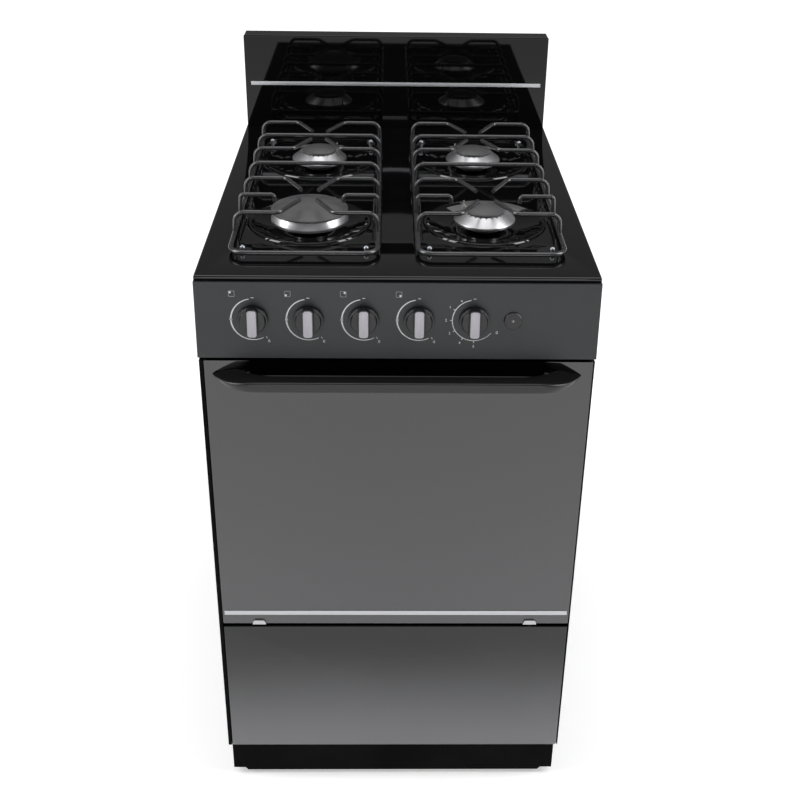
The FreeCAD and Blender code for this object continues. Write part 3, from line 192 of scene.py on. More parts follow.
def surface(name, shader_inputs):
    """A material with one shader; returns the material, its tree and the shader."""
    material = bpy.data.materials.new(name)
    material.use_nodes = True
    tree = material.node_tree
    tree.nodes.clear()
    shader = add(tree, "ShaderNodeBsdfPrincipled", shader_inputs)
    add(tree, "ShaderNodeOutputMaterial", {"Surface": shader.outputs["BSDF"]})
    return material, tree, shader


class Shell:
    """Rings of points, the faces between them, and flat regions to fill."""

    def __init__(self):
        self.points = []
        self.faces = []
        self.flats = []

    def ring(self, points):
        start = len(self.points)
        self.points.extend(Vector(p) for p in points)
        return list(range(start, len(self.points)))

    def bridge(self, low, high):
        count = len(low)
        for i in range(count):
            j = (i + 1) % count
            self.faces.append((low[i], low[j], high[j], high[i]))

    def loft(self, rings):
        made = [self.ring(points) for points in rings]
        for low, high in zip(made, made[1:]):
            self.bridge(low, high)
        return made

    def cap(self, ring):
        self.faces.append(tuple(ring))

    def fill(self, *rings):
        """Fill the flat region inside the first ring and outside the others."""
        self.flats.append(rings)

    def mesh(self, name, place=None):
        bm = bmesh.new()
        verts = [bm.verts.new(p) for p in self.points]
        for face in self.faces:
            bm.faces.new([verts[i] for i in face])
        for rings in self.flats:
            edges = []
            for ring in rings:
                for i, j in zip(ring, ring[1:] + ring[:1]):
                    edge = bm.edges.get((verts[i], verts[j]))
                    edges.append(edge or bm.edges.new((verts[i], verts[j])))
            bmesh.ops.triangle_fill(bm, use_beauty=True, edges=edges)
        bmesh.ops.remove_doubles(bm, verts=bm.verts, dist=1e-7)
        bmesh.ops.recalc_face_normals(bm, faces=bm.faces)
        if place is not None:
            bm.transform(place)
        mesh = bpy.data.meshes.new(name)
        bm.to_mesh(mesh)
        bm.free()
        return mesh


def piece(name, mesh, body, material, replaces=(), crease=30.0):
    """Show a mesh as a named piece that rides on a body."""
    mesh.name = name
    mesh.materials.clear()
    mesh.materials.append(material)
    mesh.shade_smooth()
    mesh.set_sharp_from_angle(angle=math.radians(crease))
    made = bpy.data.objects.new(name, mesh)
    bpy.context.scene.collection.objects.link(made)
    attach(made, body)
    if replaces:
        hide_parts(*replaces)
    return made


def rounded(points, radius, steps=5, closed=False):
    """A flat outline with its corners turned into arcs; radius is one value or one for each point."""
    points = [Vector(p) for p in points]
    count = len(points)
    made = []
    for i, corner in enumerate(points):
        bend = radius[i] if isinstance(radius, (list, tuple)) else radius
        if (not closed and i in (0, count - 1)) or bend <= 0:
            made.append(corner)
            continue
        run_in = (points[i - 1] - corner).normalized()
        run_out = (points[(i + 1) % count] - corner).normalized()
        half = run_in.angle(run_out) / 2
        if half > math.pi / 2 - 0.01:
            made.append(corner)
            continue
        centre = corner + (run_in + run_out).normalized() * (bend / math.sin(half))
        start = corner + run_in * (bend / math.tan(half)) - centre
        sweep = math.pi - 2 * half
        turn = 1 if start.cross(-run_in) > 0 else -1
        for k in range(steps + 1):
            angle = turn * sweep * k / steps
            made.append(centre + Matrix.Rotation(angle, 2) @ start)
    return made


def box_outline(x0, x1, y0, y1, radius, steps=6):
    return rounded([(x0, y0), (x1, y0), (x1, y1), (x0, y1)], radius, steps, closed=True)


def at_height(outline, z):
    return [(p[0], p[1], z) for p in outline]


def circle(x, y, radius, z, count=96, first=0.0):
    return [(x + radius * math.cos(first + 2 * math.pi * i / count),
             y + radius * math.sin(first + 2 * math.pi * i / count), z) for i in range(count)]


def lathe(profile, count=96, x=0.0, y=0.0):
    """A closed turned shape from a radius-height outline, with flat ends."""
    shell = Shell()
    rings = shell.loft([circle(x, y, r, z, count) for r, z in profile])
    shell.cap(rings[0])
    shell.cap(rings[-1])
    return shell


def grown(tree, values, mesh, name):
    """Run a node tree on a mesh and return the result as a plain mesh."""
    holder = bpy.data.objects.new(name, mesh)
    bpy.context.scene.collection.objects.link(holder)
    modifier = holder.modifiers.new(name, "NODES")
    modifier.node_group = tree
    for item in tree.interface.items_tree:
        if item.in_out == "INPUT" and item.name in values:
            modifier[item.identifier] = values[item.name]
    view = bpy.context.evaluated_depsgraph_get()
    made = bpy.data.meshes.new_from_object(holder.evaluated_get(view))
    holder.modifiers.clear()
    bpy.data.objects.remove(holder)
    return made


def node_group(name, sizes):
    """An empty geometry tree with named size inputs; returns it and its input and output nodes."""
    tree = bpy.data.node_groups.new(name, "GeometryNodeTree")
    tree.interface.new_socket("Geometry", in_out="INPUT", socket_type="NodeSocketGeometry")
    for size, value in sizes.items():
        kind = "NodeSocketInt" if isinstance(value, int) else "NodeSocketFloat"
        socket = tree.interface.new_socket(size, in_out="INPUT", socket_type=kind)
        socket.default_value = value
    tree.interface.new_socket("Material", in_out="INPUT", socket_type="NodeSocketMaterial")
    tree.interface.new_socket("Geometry", in_out="OUTPUT", socket_type="NodeSocketGeometry")
    return tree, add(tree, "NodeGroupInput"), add(tree, "NodeGroupOutput")


# ================================================================ materials
def enamel(name, colour, roughness, peel_size, peel_depth, shine=0.5):
    """Vitreous enamel fired on steel: a glassy coat whose faint orange peel softens reflections."""
    material, tree, shader = surface(name, {"Base Color": linear(colour), "IOR": 1.5,
                                            "Specular IOR Level": shine})
    place = add(tree, "ShaderNodeTexCoord").outputs["Object"]
    peel = add(tree, "ShaderNodeTexNoise", {"Vector": place, "Scale": 1 / peel_size, "Detail": 2.0})
    smear = add(tree, "ShaderNodeTexNoise", {"Vector": place, "Scale": 1 / (90 * MM), "Detail": 3.0})
    dull = add(tree, "ShaderNodeMapRange", {"Value": smear.outputs["Fac"], "To Min": roughness * 0.8,
                                            "To Max": roughness * 1.25})
    bump = add(tree, "ShaderNodeBump", {"Height": peel.outputs["Fac"], "Strength": 0.25,
                                        "Distance": peel_depth})
    tree.links.new(dull.outputs["Result"], shader.inputs["Roughness"])
    tree.links.new(bump.outputs["Normal"], shader.inputs["Normal"])
    return material


def metal(name, colour, roughness, grain_size, stretch, depth):
    """Bare or plated metal: grain drawn out along one direction breaks up its highlights."""
    material, tree, shader = surface(name, {"Base Color": linear(colour), "Metallic": 1.0})
    place = add(tree, "ShaderNodeTexCoord").outputs["Object"]
    along = add(tree, "ShaderNodeMapping", {"Vector": place, "Scale": stretch})
    grain = add(tree, "ShaderNodeTexNoise", {"Vector": along.outputs["Vector"], "Scale": 1 / grain_size,
                                             "Detail": 4.0})
    dull = add(tree, "ShaderNodeMapRange", {"Value": grain.outputs["Fac"], "To Min": roughness * 0.7,
                                            "To Max": roughness * 1.4})
    bump = add(tree, "ShaderNodeBump", {"Height": grain.outputs["Fac"], "Strength": 0.2, "Distance": depth})
    tree.links.new(dull.outputs["Result"], shader.inputs["Roughness"])
    tree.links.new(bump.outputs["Normal"], shader.inputs["Normal"])
    return material


def plastic(name, colour, roughness, grain_size, depth):
    """Moulded plastic: a fine spark-eroded grain on the tool shows as soft highlights."""
    material, tree, shader = surface(name, {"Base Color": linear(colour), "Roughness": roughness,
                                            "IOR": 1.49})
    place = add(tree, "ShaderNodeTexCoord").outputs["Object"]
    grain = add(tree, "ShaderNodeTexVoronoi", {"Vector": place, "Scale": 1 / grain_size})
    bump = add(tree, "ShaderNodeBump", {"Height": grain.outputs["Distance"], "Strength": 0.3,
                                        "Distance": depth})
    tree.links.new(bump.outputs["Normal"], shader.inputs["Normal"])
    return material


def oven_enamel(name):
    """Ground-coat enamel of an oven liner: dark grey with fine pale speckles."""
    material, tree, shader = surface(name, {"Roughness": 0.22, "IOR": 1.5})
    place = add(tree, "ShaderNodeTexCoord").outputs["Object"]
    # The real speckles are about 0.5 mm; drawn at 2 mm so that they show.
    specks = add(tree, "ShaderNodeTexVoronoi", {"Vector": place, "Scale": 1 / (2 * MM)})
    shade = add(tree, "ShaderNodeValToRGB", {"Fac": specks.outputs["Distance"]})
    shade.color_ramp.elements[0].position = 0.10
    shade.color_ramp.elements[0].color = linear("#B9BBBD")
    shade.color_ramp.elements[1].position = 0.22
    shade.color_ramp.elements[1].color = linear("#2B2D31")
    tree.links.new(shade.outputs["Color"], shader.inputs["Base Color"])
    return material


def toned_sheet(name, high_colour, painted_reflection_colour, low_z, high_z, roughness, coat, painted_handle_shade=None):
    """A dark glossy front with a painted reflection of the floor that pales it towards its foot; a strip of
    it behind and above the handle may lose its gloss as painted shade.
    """
    material, tree, shader = surface(name, {"IOR": 1.5, "Roughness": roughness, "Coat Weight": coat,
                                            "Coat Roughness": 0.02, "Coat IOR": 1.8})
    place = add(tree, "ShaderNodeTexCoord").outputs["Object"]
    height = add(tree, "ShaderNodeSeparateXYZ", {"Vector": place})
    drift = add(tree, "ShaderNodeTexNoise", {"Vector": place, "Scale": 1 / (180 * MM), "Detail": 2.0})
    # The height where the painted reflection pales drifts a little from side to side.
    uneven = add(tree, "ShaderNodeMath", {0: drift.outputs["Fac"], 1: 0.03, 2: height.outputs["Z"]},
                 operation="MULTIPLY_ADD")
    # The base colour runs from the front's own dark colour at the top to a painted reflection of the floor
    # at the foot.
    reflection_share = add(tree, "ShaderNodeMapRange", {"Value": uneven.outputs[0], "From Min": high_z,
                                             "From Max": low_z}, interpolation_type="SMOOTHSTEP")
    reflection_tone = add(tree, "ShaderNodeMix", {"Factor": reflection_share.outputs["Result"]}, data_type="RGBA")
    reflection_tone.inputs[6].default_value = linear(high_colour)
    reflection_tone.inputs[7].default_value = linear(painted_reflection_colour)
    tree.links.new(reflection_tone.outputs[2], shader.inputs["Base Color"])
    if painted_handle_shade is not None:
        # Painted shade: the strip behind and above the handle loses its gloss and reads black, standing in
        # for the handle's shadow and reflection on the glass.
        shade_foot, shade_reach = painted_handle_shade
        reach = add(tree, "ShaderNodeMath", {0: height.outputs["X"]}, operation="ABSOLUTE")
        across = add(tree, "ShaderNodeMapRange", {"Value": reach.outputs[0], "From Min": shade_reach,
                                                  "From Max": shade_reach + 12 * MM, "To Min": 1.0,
                                                  "To Max": 0.0})
        above = add(tree, "ShaderNodeMapRange", {"Value": height.outputs["Z"], "From Min": shade_foot,
                                                 "From Max": shade_foot + 2 * MM})
        shaded_by_handle = add(tree, "ShaderNodeMath", {0: across.outputs["Result"], 1: above.outputs["Result"]},
                      operation="MULTIPLY")
        for socket, gloss in (("Coat Weight", coat), ("Specular IOR Level", 0.5)):
            fade = add(tree, "ShaderNodeMapRange", {"Value": shaded_by_handle.outputs[0], "To Min": gloss,
                                                    "To Max": 0.0})
            tree.links.new(fade.outputs["Result"], shader.inputs[socket])
    return material


def fibre(name, colour, fibre_size):
    """Mineral or glass fibre: a soft matt mat of strands, with painted shade that darkens it where the
    strands lie low.
    """
    material, tree, shader = surface(name, {"Roughness": 0.95, "Sheen Weight": 0.3})
    place = add(tree, "ShaderNodeTexCoord").outputs["Object"]
    along = add(tree, "ShaderNodeMapping", {"Vector": place, "Scale": (1.0, 4.0, 1.0)})
    strands = add(tree, "ShaderNodeTexNoise", {"Vector": along.outputs["Vector"], "Scale": 1 / fibre_size,
                                               "Detail": 6.0, "Distortion": 1.0})
    # Painted shade: the colour darkens with the bump's height, so the hollows between strands read shaded.
    shade = add(tree, "ShaderNodeValToRGB", {"Fac": strands.outputs["Fac"]})
    shade.color_ramp.elements[0].position = 0.35
    shade.color_ramp.elements[0].color = tuple(c * 0.55 for c in linear(colour)[:3]) + (1.0,)
    shade.color_ramp.elements[1].position = 0.65
    shade.color_ramp.elements[1].color = linear(colour)
    bump = add(tree, "ShaderNodeBump", {"Height": strands.outputs["Fac"], "Strength": 0.8,
                                        "Distance": 1 * MM})
    tree.links.new(shade.outputs["Color"], shader.inputs["Base Color"])
    tree.links.new(bump.outputs["Normal"], shader.inputs["Normal"])
    return material


cooktop_enamel = enamel("gloss_enamel", "#060607", 0.045, 9 * MM, 0.006 * MM)
guard_enamel = enamel("backguard_enamel", "#050506", 0.03, 9 * MM, 0.006 * MM, shine=0.28)
body_enamel = enamel("body_enamel", "#0C0C0D", 0.14, 3 * MM, 0.03 * MM)
plinth_enamel = enamel("matt_enamel", "#030304", 0.75, 1.5 * MM, 0.02 * MM, shine=0.08)
panel_enamel = enamel("satin_enamel", "#1A1E20", 0.42, 1.5 * MM, 0.02 * MM)
wire_enamel = enamel("wire_enamel", "#28282A", 0.24, 2 * MM, 0.02 * MM, shine=0.8)
# The caps' grey is partly their own satin enamel and partly painted sheen, standing in for light they
# reflect from above.
cap_enamel = enamel("cap_enamel", "#444445", 0.42, 1.2 * MM, 0.02 * MM)
# Painted reflection: the drawer and the door glass pale towards their feet, standing in for the floor they
# reflect; the glass also gets painted shade above the handle.
drawer_enamel = toned_sheet("drawer_enamel", "#0A0B0D", "#767679", drawer_low.z, drawer_high.z, 0.10, 0.0)
smoked_glass = toned_sheet("smoked_tempered_glass", "#040305", "#323035", glass_low.z, glass_high.z,
                           0.03, 0.42, (handle_low.z - 1 * MM, handle_shade_reach))
liner_enamel = oven_enamel("oven_liner_enamel")
cast_aluminium = metal("cast_aluminium", "#C4C4C6", 0.34, 1.5 * MM, (1.0, 1.0, 1.0), 0.02 * MM)
trim_steel = metal("rolled_trim_steel", "#B4B5B8", 0.40, 0.8 * MM, (0.05, 1.0, 1.0), 0.01 * MM)
chrome_wire = metal("chrome_plated_wire", "#D9DADC", 0.12, 3 * MM, (1.0, 1.0, 1.0), 0.01 * MM)
zinc_steel = metal("zinc_plated_steel", "#9DA1A6", 0.38, 6 * MM, (1.0, 1.0, 1.0), 0.02 * MM)
brass = metal("machined_brass", "#C9A45A", 0.30, 1 * MM, (1.0, 0.1, 1.0), 0.01 * MM)
knob_plastic = plastic("black_moulded_phenolic", "#0C0C0D", 0.30, 0.5 * MM, 0.005 * MM)
silver_plastic = metal("silver_painted_plastic", "#98969B", 0.42, 0.6 * MM, (1.0, 1.0, 1.0), 0.005 * MM)
handle_plastic = plastic("handle_moulded_plastic", "#0C0C0D", 0.30, 0.6 * MM, 0.005 * MM)
pale_plastic = plastic("module_moulded_plastic", "#D6D5CE", 0.45, 0.8 * MM, 0.02 * MM)
rubber = plastic("moulded_rubber", "#1A1A1A", 0.75, 0.8 * MM, 0.04 * MM)
alumina = plastic("glazed_alumina", "#8E8C86", 0.30, 1.5 * MM, 0.01 * MM)
glass_wool = fibre("glass_wool_blanket", "#D9CB8C", 3 * MM)
seal_rope = fibre("braided_glass_rope", "#4A4A48", 1.5 * MM)
white_ink = plastic("white_screen_ink", "#E2E4E4", 0.5, 0.4 * MM, 0.005 * MM)
grey_ink = plastic("grey_screen_ink", "#A9ACAC", 0.5, 0.4 * MM, 0.005 * MM)

carried_over = {
    body_enamel: ["side_panel_right", "side_panel_left", "door_frame"],
    plinth_enamel: ["base_frame", "plinth"],
    guard_enamel: ["backguard"],
    liner_enamel: ["oven_cavity", "oven_floor"],
    panel_enamel: ["control_panel"],
    wire_enamel: ["grate_left", "grate_right"],
    trim_steel: ["door_clips"],
    chrome_wire: ["rack_guides", "oven_rack"],
    zinc_steel: ["back_panel", "oven_supply_pipe", "oven_burner", "burner_mixers",
                 "gas_manifold", "hinge_receivers", "hinge_arms", "drawer_runners", "drawer_box",
                 "grate_studs"]
    + ["valve_stem_" + place for place in knob_places],
    brass: ["gas_inlet", "gas_valves", "oven_thermostat"],
    knob_plastic: ["ignition_button"],
    alumina: ["spark_electrodes"],
    glass_wool: ["oven_insulation", "door_insulation"],
    seal_rope: ["door_seal"],
    rubber: ["feet"],
    pale_plastic: ["spark_module", "button_switch"],
}
for material, names in carried_over.items():
    for node_name in names:
        mesh = frame["nodes"][node_name].data
        mesh.materials.clear()
        mesh.materials.append(material)


# ================================================================ cooktop
def burners():
    """Each burner's place, and whether it is the large one, in the order of the knobs."""
    return [(-burner_x, rear_burner_y, False), (-burner_x, front_burner_y, True),
            (burner_x, rear_burner_y, False), (burner_x, front_burner_y, False)]


def pressed_cooktop():
    """One pressed sheet with soft bends: a folded rim, two wells, and four stepped bowls."""
    shell = Shell()
    rim = rounded([(0, lip_height), (0, 0), (edge_bend * 2, 0)], edge_bend)
    rings = []
    for inset, drop in rim:
        bend = max(corner_bend - inset, 0.3 * MM)
        outline = box_outline(-half_width + inset, half_width - inset,
                              front_y + inset, rear_y - inset, bend)
        rings.append(at_height(outline, top_z - drop))
    edge = shell.loft(rings)[-1]
    wells = []
    for side in (-1, 1):
        wall = rounded([(-well_bend * 2, 0), (0, 0), (0, -well_depth), (well_bend * 2, -well_depth)],
                       well_bend, 4)
        outlines = []
        for inset, height in wall:
            outline = box_outline(side * burner_x - well_half_width + inset,
                                  side * burner_x + well_half_width - inset,
                                  front_y + well_front + inset, front_y + well_rear - inset,
                                  well_corner - inset, 8)
            outlines.append(at_height(outline, top_z + height))
        made = shell.loft(outlines[1:-1])
        wells.append(made[0])
        floor_edges = [made[-1]]
        for x, y, large in burners():
            if x * side > 0:
                floor_edges.append(bowl(shell, x, y, large))
        shell.fill(*floor_edges)
    shell.fill(edge, *wells)
    mesh = shell.mesh("pressed_cooktop")
    made = piece("pressed_cooktop", mesh, "range_body", cooktop_enamel, ["cooktop_panel"])
    wall = made.modifiers.new("sheet", "SOLIDIFY")
    wall.thickness = sheet
    wall.offset = -1.0
    view = bpy.context.evaluated_depsgraph_get()
    made.data = bpy.data.meshes.new_from_object(made.evaluated_get(view))
    made.modifiers.clear()


def bowl(shell, x, y, large):
    """A stepped bowl with its neck hole; returns its outer ring."""
    steps = rounded([(r * MM, z * MM) for r, z in bowl_steps] + [(neck_hole, bowl_steps[-1][1] * MM)],
                    [0, 1.0 * MM, 1.5 * MM, 2.0 * MM, 2.5 * MM, 3.0 * MM, 3.0 * MM, 0], 4)
    floor_z = top_z - well_depth
    rings = shell.loft([circle(x, y, r, floor_z + z, 128) for r, z in steps])
    return rings[0]


pressed_cooktop()


# ================================================================ burners
def burner_head(x, y, large):
    """Cast head: neck, foot and a flared skirt, with a ring of gas slots under the cap."""
    radius = large_head if large else small_head
    crown = large_crown if large else small_crown
    foot = neck_hole + foot_outset
    neck = neck_hole - neck_play
    bore = neck - neck_wall
    cup = crown - crown_wall
    floor = top_z - well_depth + bowl_steps[-1][1] * MM
    band_top = top_z + skirt_half_height
    band_low = top_z - skirt_half_height
    top = top_z + head_height
    cup_z = top_z + head_floor
    slot_floor = top - slot_depth
    slope = (crown - radius) / (top - band_top)
    bends = [0.3, 0.3, 0.8, 0.8, 0.8, 0.8, 1.2, 0.6, 0.5, 0.5, 0.3]

    def profile(rim, rim_radius):
        corners = [(bore, floor - neck_length), (neck, floor - neck_length), (neck, floor), (foot, floor),
                   (foot, band_low), (radius, band_low), (radius, band_top), (rim_radius, rim),
                   (cup, rim), (cup, cup_z), (bore, cup_z)]
        return rounded(corners, [b * MM for b in bends], 3, closed=True)

    whole = profile(top, crown)
    cut_down = profile(slot_floor, crown + slope * -slot_depth)
    columns = []
    half = slot_width / 2 / crown
    for index in range(slot_count):
        middle = 2 * math.pi * index / slot_count
        gap = 2 * math.pi / slot_count - 2 * half
        for k in range(5):
            columns.append((middle + half + 0.0005 + (gap - 0.001) * k / 4, whole))
        columns.append((middle + 2 * math.pi / slot_count - half, cut_down))
        columns.append((middle + 2 * math.pi / slot_count + half - 0.0002, cut_down))
    shell = Shell()
    rings = shell.loft([[(x + r * math.cos(a), y + r * math.sin(a), z) for r, z in outline]
                        for a, outline in columns])
    shell.bridge(rings[-1], rings[0])
    return shell.mesh("head")


def burner_cap(x, y, large):
    """Enamelled cap: flat under, a rounded edge and a low dome that is part of a sphere."""
    radius = large_cap if large else small_cap
    dome = large_dome if large else small_dome
    low = top_z + cap_seat
    edge_z = low + cap_rim
    sphere = (radius ** 2 + dome ** 2) / (2 * dome)
    widest = math.asin(radius / sphere)
    profile = [(radius - 0.8 * MM, low), (radius - 0.2 * MM, low + 0.2 * MM), (radius, low + 0.9 * MM),
               (radius, edge_z - 1.2 * MM), (radius - 0.3 * MM, edge_z - 0.4 * MM)]
    for k in range(1, 14):
        angle = widest * (1 - k / 14) * 0.985
        profile.append((sphere * math.sin(angle), edge_z + dome - sphere * (1 - math.cos(angle))))
    return lathe(profile, 96, x, y).mesh("cap")


def joined(meshes, name):
    """Several meshes as one."""
    bm = bmesh.new()
    for mesh in meshes:
        bm.from_mesh(mesh)
        bpy.data.meshes.remove(mesh)
    made = bpy.data.meshes.new(name)
    bm.to_mesh(made)
    bm.free()
    return made


heads = joined([burner_head(*b) for b in burners()], "heads")
piece("cast_burner_heads", heads, "range_body", cast_aluminium, ["burner_heads"])
caps = joined([burner_cap(*b) for b in burners()], "caps")
piece("enamelled_burner_caps", caps, "range_body", cap_enamel, ["burner_caps"])


# ================================================================ glass and drawer front
def soft_front(low, high, bend, corner, wall=None):
    """A slab with a rounded front edge; with a wall it is a folded sheet, open at the back."""
    def ring(inset, y):
        outline = box_outline(low.x + inset, high.x - inset, low.z + inset, high.z - inset,
                              max(corner - inset, 0.2 * MM), 4)
        return [(p[0], y, p[1]) for p in outline]

    outer = [ring(0, high.y)]
    for k in range(6):
        angle = math.pi / 2 * k / 5
        outer.append(ring(bend * (1 - math.cos(angle)), low.y + bend * (1 - math.sin(angle))))
    shell = Shell()
    made = shell.loft(outer)
    shell.cap(made[-1])
    if wall is None:
        shell.cap(made[0])
        return shell.mesh("slab")
    inner = shell.loft([ring(wall, high.y), ring(wall, low.y + wall + bend / 2),
                        ring(wall + bend / 2, low.y + wall)])
    shell.bridge(made[0], inner[0])
    shell.cap(inner[-1])
    return shell.mesh("folded")


piece("door_glass_pane", soft_front(glass_low, glass_high, 1.0 * MM, 2.0 * MM), "oven_door", smoked_glass,
      ["door_glass"])
piece("folded_drawer_front", soft_front(drawer_low, drawer_high, 2.0 * MM, 2.5 * MM, 1.2 * MM), "drawer",
      drawer_enamel, ["drawer_front"])


def bright_line(name, node, body, height):
    """A thin rolled strip, taller than its CAD strip by equal amounts above and below."""
    low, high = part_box(node)
    spare = Vector((0, 0, (height - (high.z - low.z)) / 2))
    strip = soft_front(low - spare, high + spare, line_bend, line_corner)
    piece(name, strip, body, trim_steel, [node])


bright_line("rolled_door_line", "door_line", "oven_door", door_line_height)
bright_line("rolled_backguard_line", "backguard_line", "range_body", guard_line_height)

side_low, side_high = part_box("side_panel_right")


def front_trim(name, x0, x1):
    """Black upright beside the door and drawer, flush with the side panel behind it."""
    low = Vector((x0, glass_low.y + trim_setback, drawer_low.z))
    high = Vector((x1, side_low.y, glass_high.z))
    piece(name, soft_front(low, high, trim_bend, trim_bend), "range_body", plinth_enamel)


front_trim("front_trim_left", -side_high.x, glass_low.x - trim_gap)
front_trim("front_trim_right", glass_high.x + trim_gap, side_high.x)


# ================================================================ handle
def door_handle():
    """Moulded bar whose ends sweep back to the glass and taper to a point seen from the front."""
    y_out = handle_low.y
    y_door = glass_low.y
    tip = handle_high.x
    straight = tip - handle_bend_length
    root = tip - handle_root_length
    inner_straight = root - handle_inner_bend
    taper_start = tip - handle_taper_length
    z_low = handle_low.z
    z_high = handle_high.z
    z_tip = z_low + handle_tip_rise
    sides = 24
    rings = []
    shell = Shell()
    for station in range(handle_stations + 1):
        reflection_share = -1 + 2 * station / handle_stations
        # The sections crowd towards both ends, where the bar bends.
        x = math.sin(reflection_share * math.pi / 2) * (tip - handle_edge)
        reach = abs(x)
        out = y_out
        if reach > straight:
            out = y_out + (y_door - y_out) * ((reach - straight) / (tip - straight)) ** outer_sweep
        back = y_out + handle_depth
        if reach > inner_straight:
            along = min(1.0, (reach - inner_straight) / (root - inner_straight))
            back += (y_door - back) * along ** inner_sweep
        low, high = z_low, z_high
        if reach > taper_start:
            near = ((reach - taper_start) / (tip - taper_start)) ** taper_sweep
            low = z_low + (z_tip - z_low) * near
            high = z_high + (z_tip + handle_edge - z_high) * near
        out = min(out, y_door - 0.5 * MM)
        back = max(back, out + handle_edge)
        half_y, half_z = (back - out) / 2, (high - low) / 2
        ring = []
        for k in range(sides):
            angle = 2 * math.pi * k / sides
            c, s = math.cos(angle), math.sin(angle)
            ring.append((x, (out + back) / 2 + half_y * math.copysign(abs(c) ** section_power, c),
                         (low + high) / 2 + half_z * math.copysign(abs(s) ** section_power, s)))
        rings.append(ring)
    made = shell.loft(rings)
    shell.cap(made[0])
    shell.cap(made[-1])
    return shell.mesh("handle")


piece("bar_handle", door_handle(), "oven_door", handle_plastic, ["door_handle"],
      crease=50)


# ================================================================ knobs
def panel_matrix(place):
    """Panel axes at a knob: X along the panel, Y up its face, Z straight out of it."""
    joint = turns["knob_" + place]
    out = Vector(joint["axis"]).normalized()
    right = Vector((1, 0, 0))
    up = out.cross(right)
    matrix = Matrix((right, up, out)).transposed().to_4x4()
    matrix.translation = Vector(joint["pos_m"])
    return matrix


def panel_reach(node):
    """How far a node's lowest and highest points stand out of the panel at the front left knob."""
    matrix = panel_matrix("front_left").inverted()
    heights = [(matrix @ v.co).z for v in frame["nodes"][node].data.vertices]
    return min(heights), max(heights)


foot_out, grip_out = panel_reach("knob_front_left")
plate_low, plate_out = panel_reach("knob_insert_front_left")


def block_of(half_x, half_y, corner, levels):
    """A bar with round corners; each level is an inset and a height."""
    shell = Shell()
    rings = shell.loft([at_height(box_outline(inset - half_x, half_x - inset, inset - half_y,
                                              half_y - inset, corner - inset), z) for inset, z in levels])
    shell.cap(rings[0])
    shell.cap(rings[-1])
    return shell.mesh("bar")


def knob_body():
    """Round skirt, a low tapered body and the grip across it."""
    skirt = foot_out + skirt_height
    top = foot_out + body_height
    neck = body_top_radius + 1.4 * MM
    profile = rounded([(knob_radius - 1.5 * MM, foot_out), (knob_radius, foot_out), (knob_radius, skirt),
                       (neck, skirt), (body_top_radius, top), (4 * MM, top)],
                      [0, 0.5 * MM, 0.8 * MM, 0.5 * MM, 1.2 * MM, 0], 4)
    body = lathe(profile, 72).mesh("body")
    grip = block_of(grip_half_width, grip_half_length, grip_corner,
                    [(0, skirt), (0, grip_out - 1.0 * MM), (0.3 * MM, grip_out - 0.3 * MM),
                     (0.9 * MM, grip_out)])
    return joined([body, grip], "knob")


def knob_plate():
    """Silver plate let into the grip, with a soft edge."""
    return block_of(plate_half_width, plate_half_length, plate_corner,
                    [(0, plate_low), (0, plate_out - 0.5 * MM), (0.15 * MM, plate_out - 0.15 * MM),
                     (0.5 * MM, plate_out)])


for place in knob_places:
    matrix = panel_matrix(place)
    body = "knob_" + place
    mesh = knob_body()
    mesh.transform(matrix)
    piece("knob_moulding_" + place, mesh, body, knob_plastic, [body])
    mesh = knob_plate()
    mesh.transform(matrix)
    piece("knob_bar_" + place, mesh, body, silver_plastic, ["knob_insert_" + place])


# ================================================================ printing on the panel
def clock(turned_left, radius):
    """A point on a dial, counted in degrees anticlockwise from twelve o'clock."""
    angle = math.radians(90 + turned_left)
    return radius * math.cos(angle), radius * math.sin(angle)


def stroke(path, widths, closed=False):
    """A printed line along a path; widths is one width for all points or one for each."""
    points = [Vector(p) for p in path]
    count = len(points)
    shell = Shell()
    rings = []
    for i, point in enumerate(points):
        before = points[i - 1] if closed or i > 0 else point
        after = points[(i + 1) % count] if closed or i < count - 1 else point
        run = (after - before).normalized()
        across = Vector((-run.y, run.x))
        half = (widths[i] if isinstance(widths, list) else widths) / 2
        a, b = point - across * half, point + across * half
        rings.append([(a.x, a.y, ink_low), (b.x, b.y, ink_low), (b.x, b.y, ink_high), (a.x, a.y, ink_high)])
    made = shell.loft(rings)
    if closed:
        shell.bridge(made[-1], made[0])
    else:
        shell.cap(made[0])
        shell.cap(made[-1])
    return shell.mesh("stroke")


def dot(x, y, radius):
    return lathe([(radius, ink_low), (radius, ink_high)], 20, x, y).mesh("dot")


def flame(x, y, size):
    """A small flame: a drop with its point up."""
    path = []
    for k in range(18):
        angle = 2 * math.pi * k / 18
        lift = 1.0 + 0.8 * max(0.0, math.sin(angle)) ** 3
        path.append((x + size * 0.55 * math.cos(angle), y + size * 0.6 * math.sin(angle) * lift))
    return stroke(path, 0.55 * MM, closed=True)


def dial_arc(first, last, thin, thick):
    """An arc that swells from thin to thick at nine o'clock and thins again."""
    path, widths = [], []
    for k in range(49):
        turned_left = first + (last - first) * k / 48
        swell = max(0.0, 1 - abs(turned_left - 90) / 125)
        path.append(clock(turned_left, dial_radius))
        widths.append(thin + (thick - thin) * swell)
    return stroke(path, widths)


def tick(turned_left, inner, outer, width):
    return stroke([clock(turned_left, inner), clock(turned_left, outer)], width)


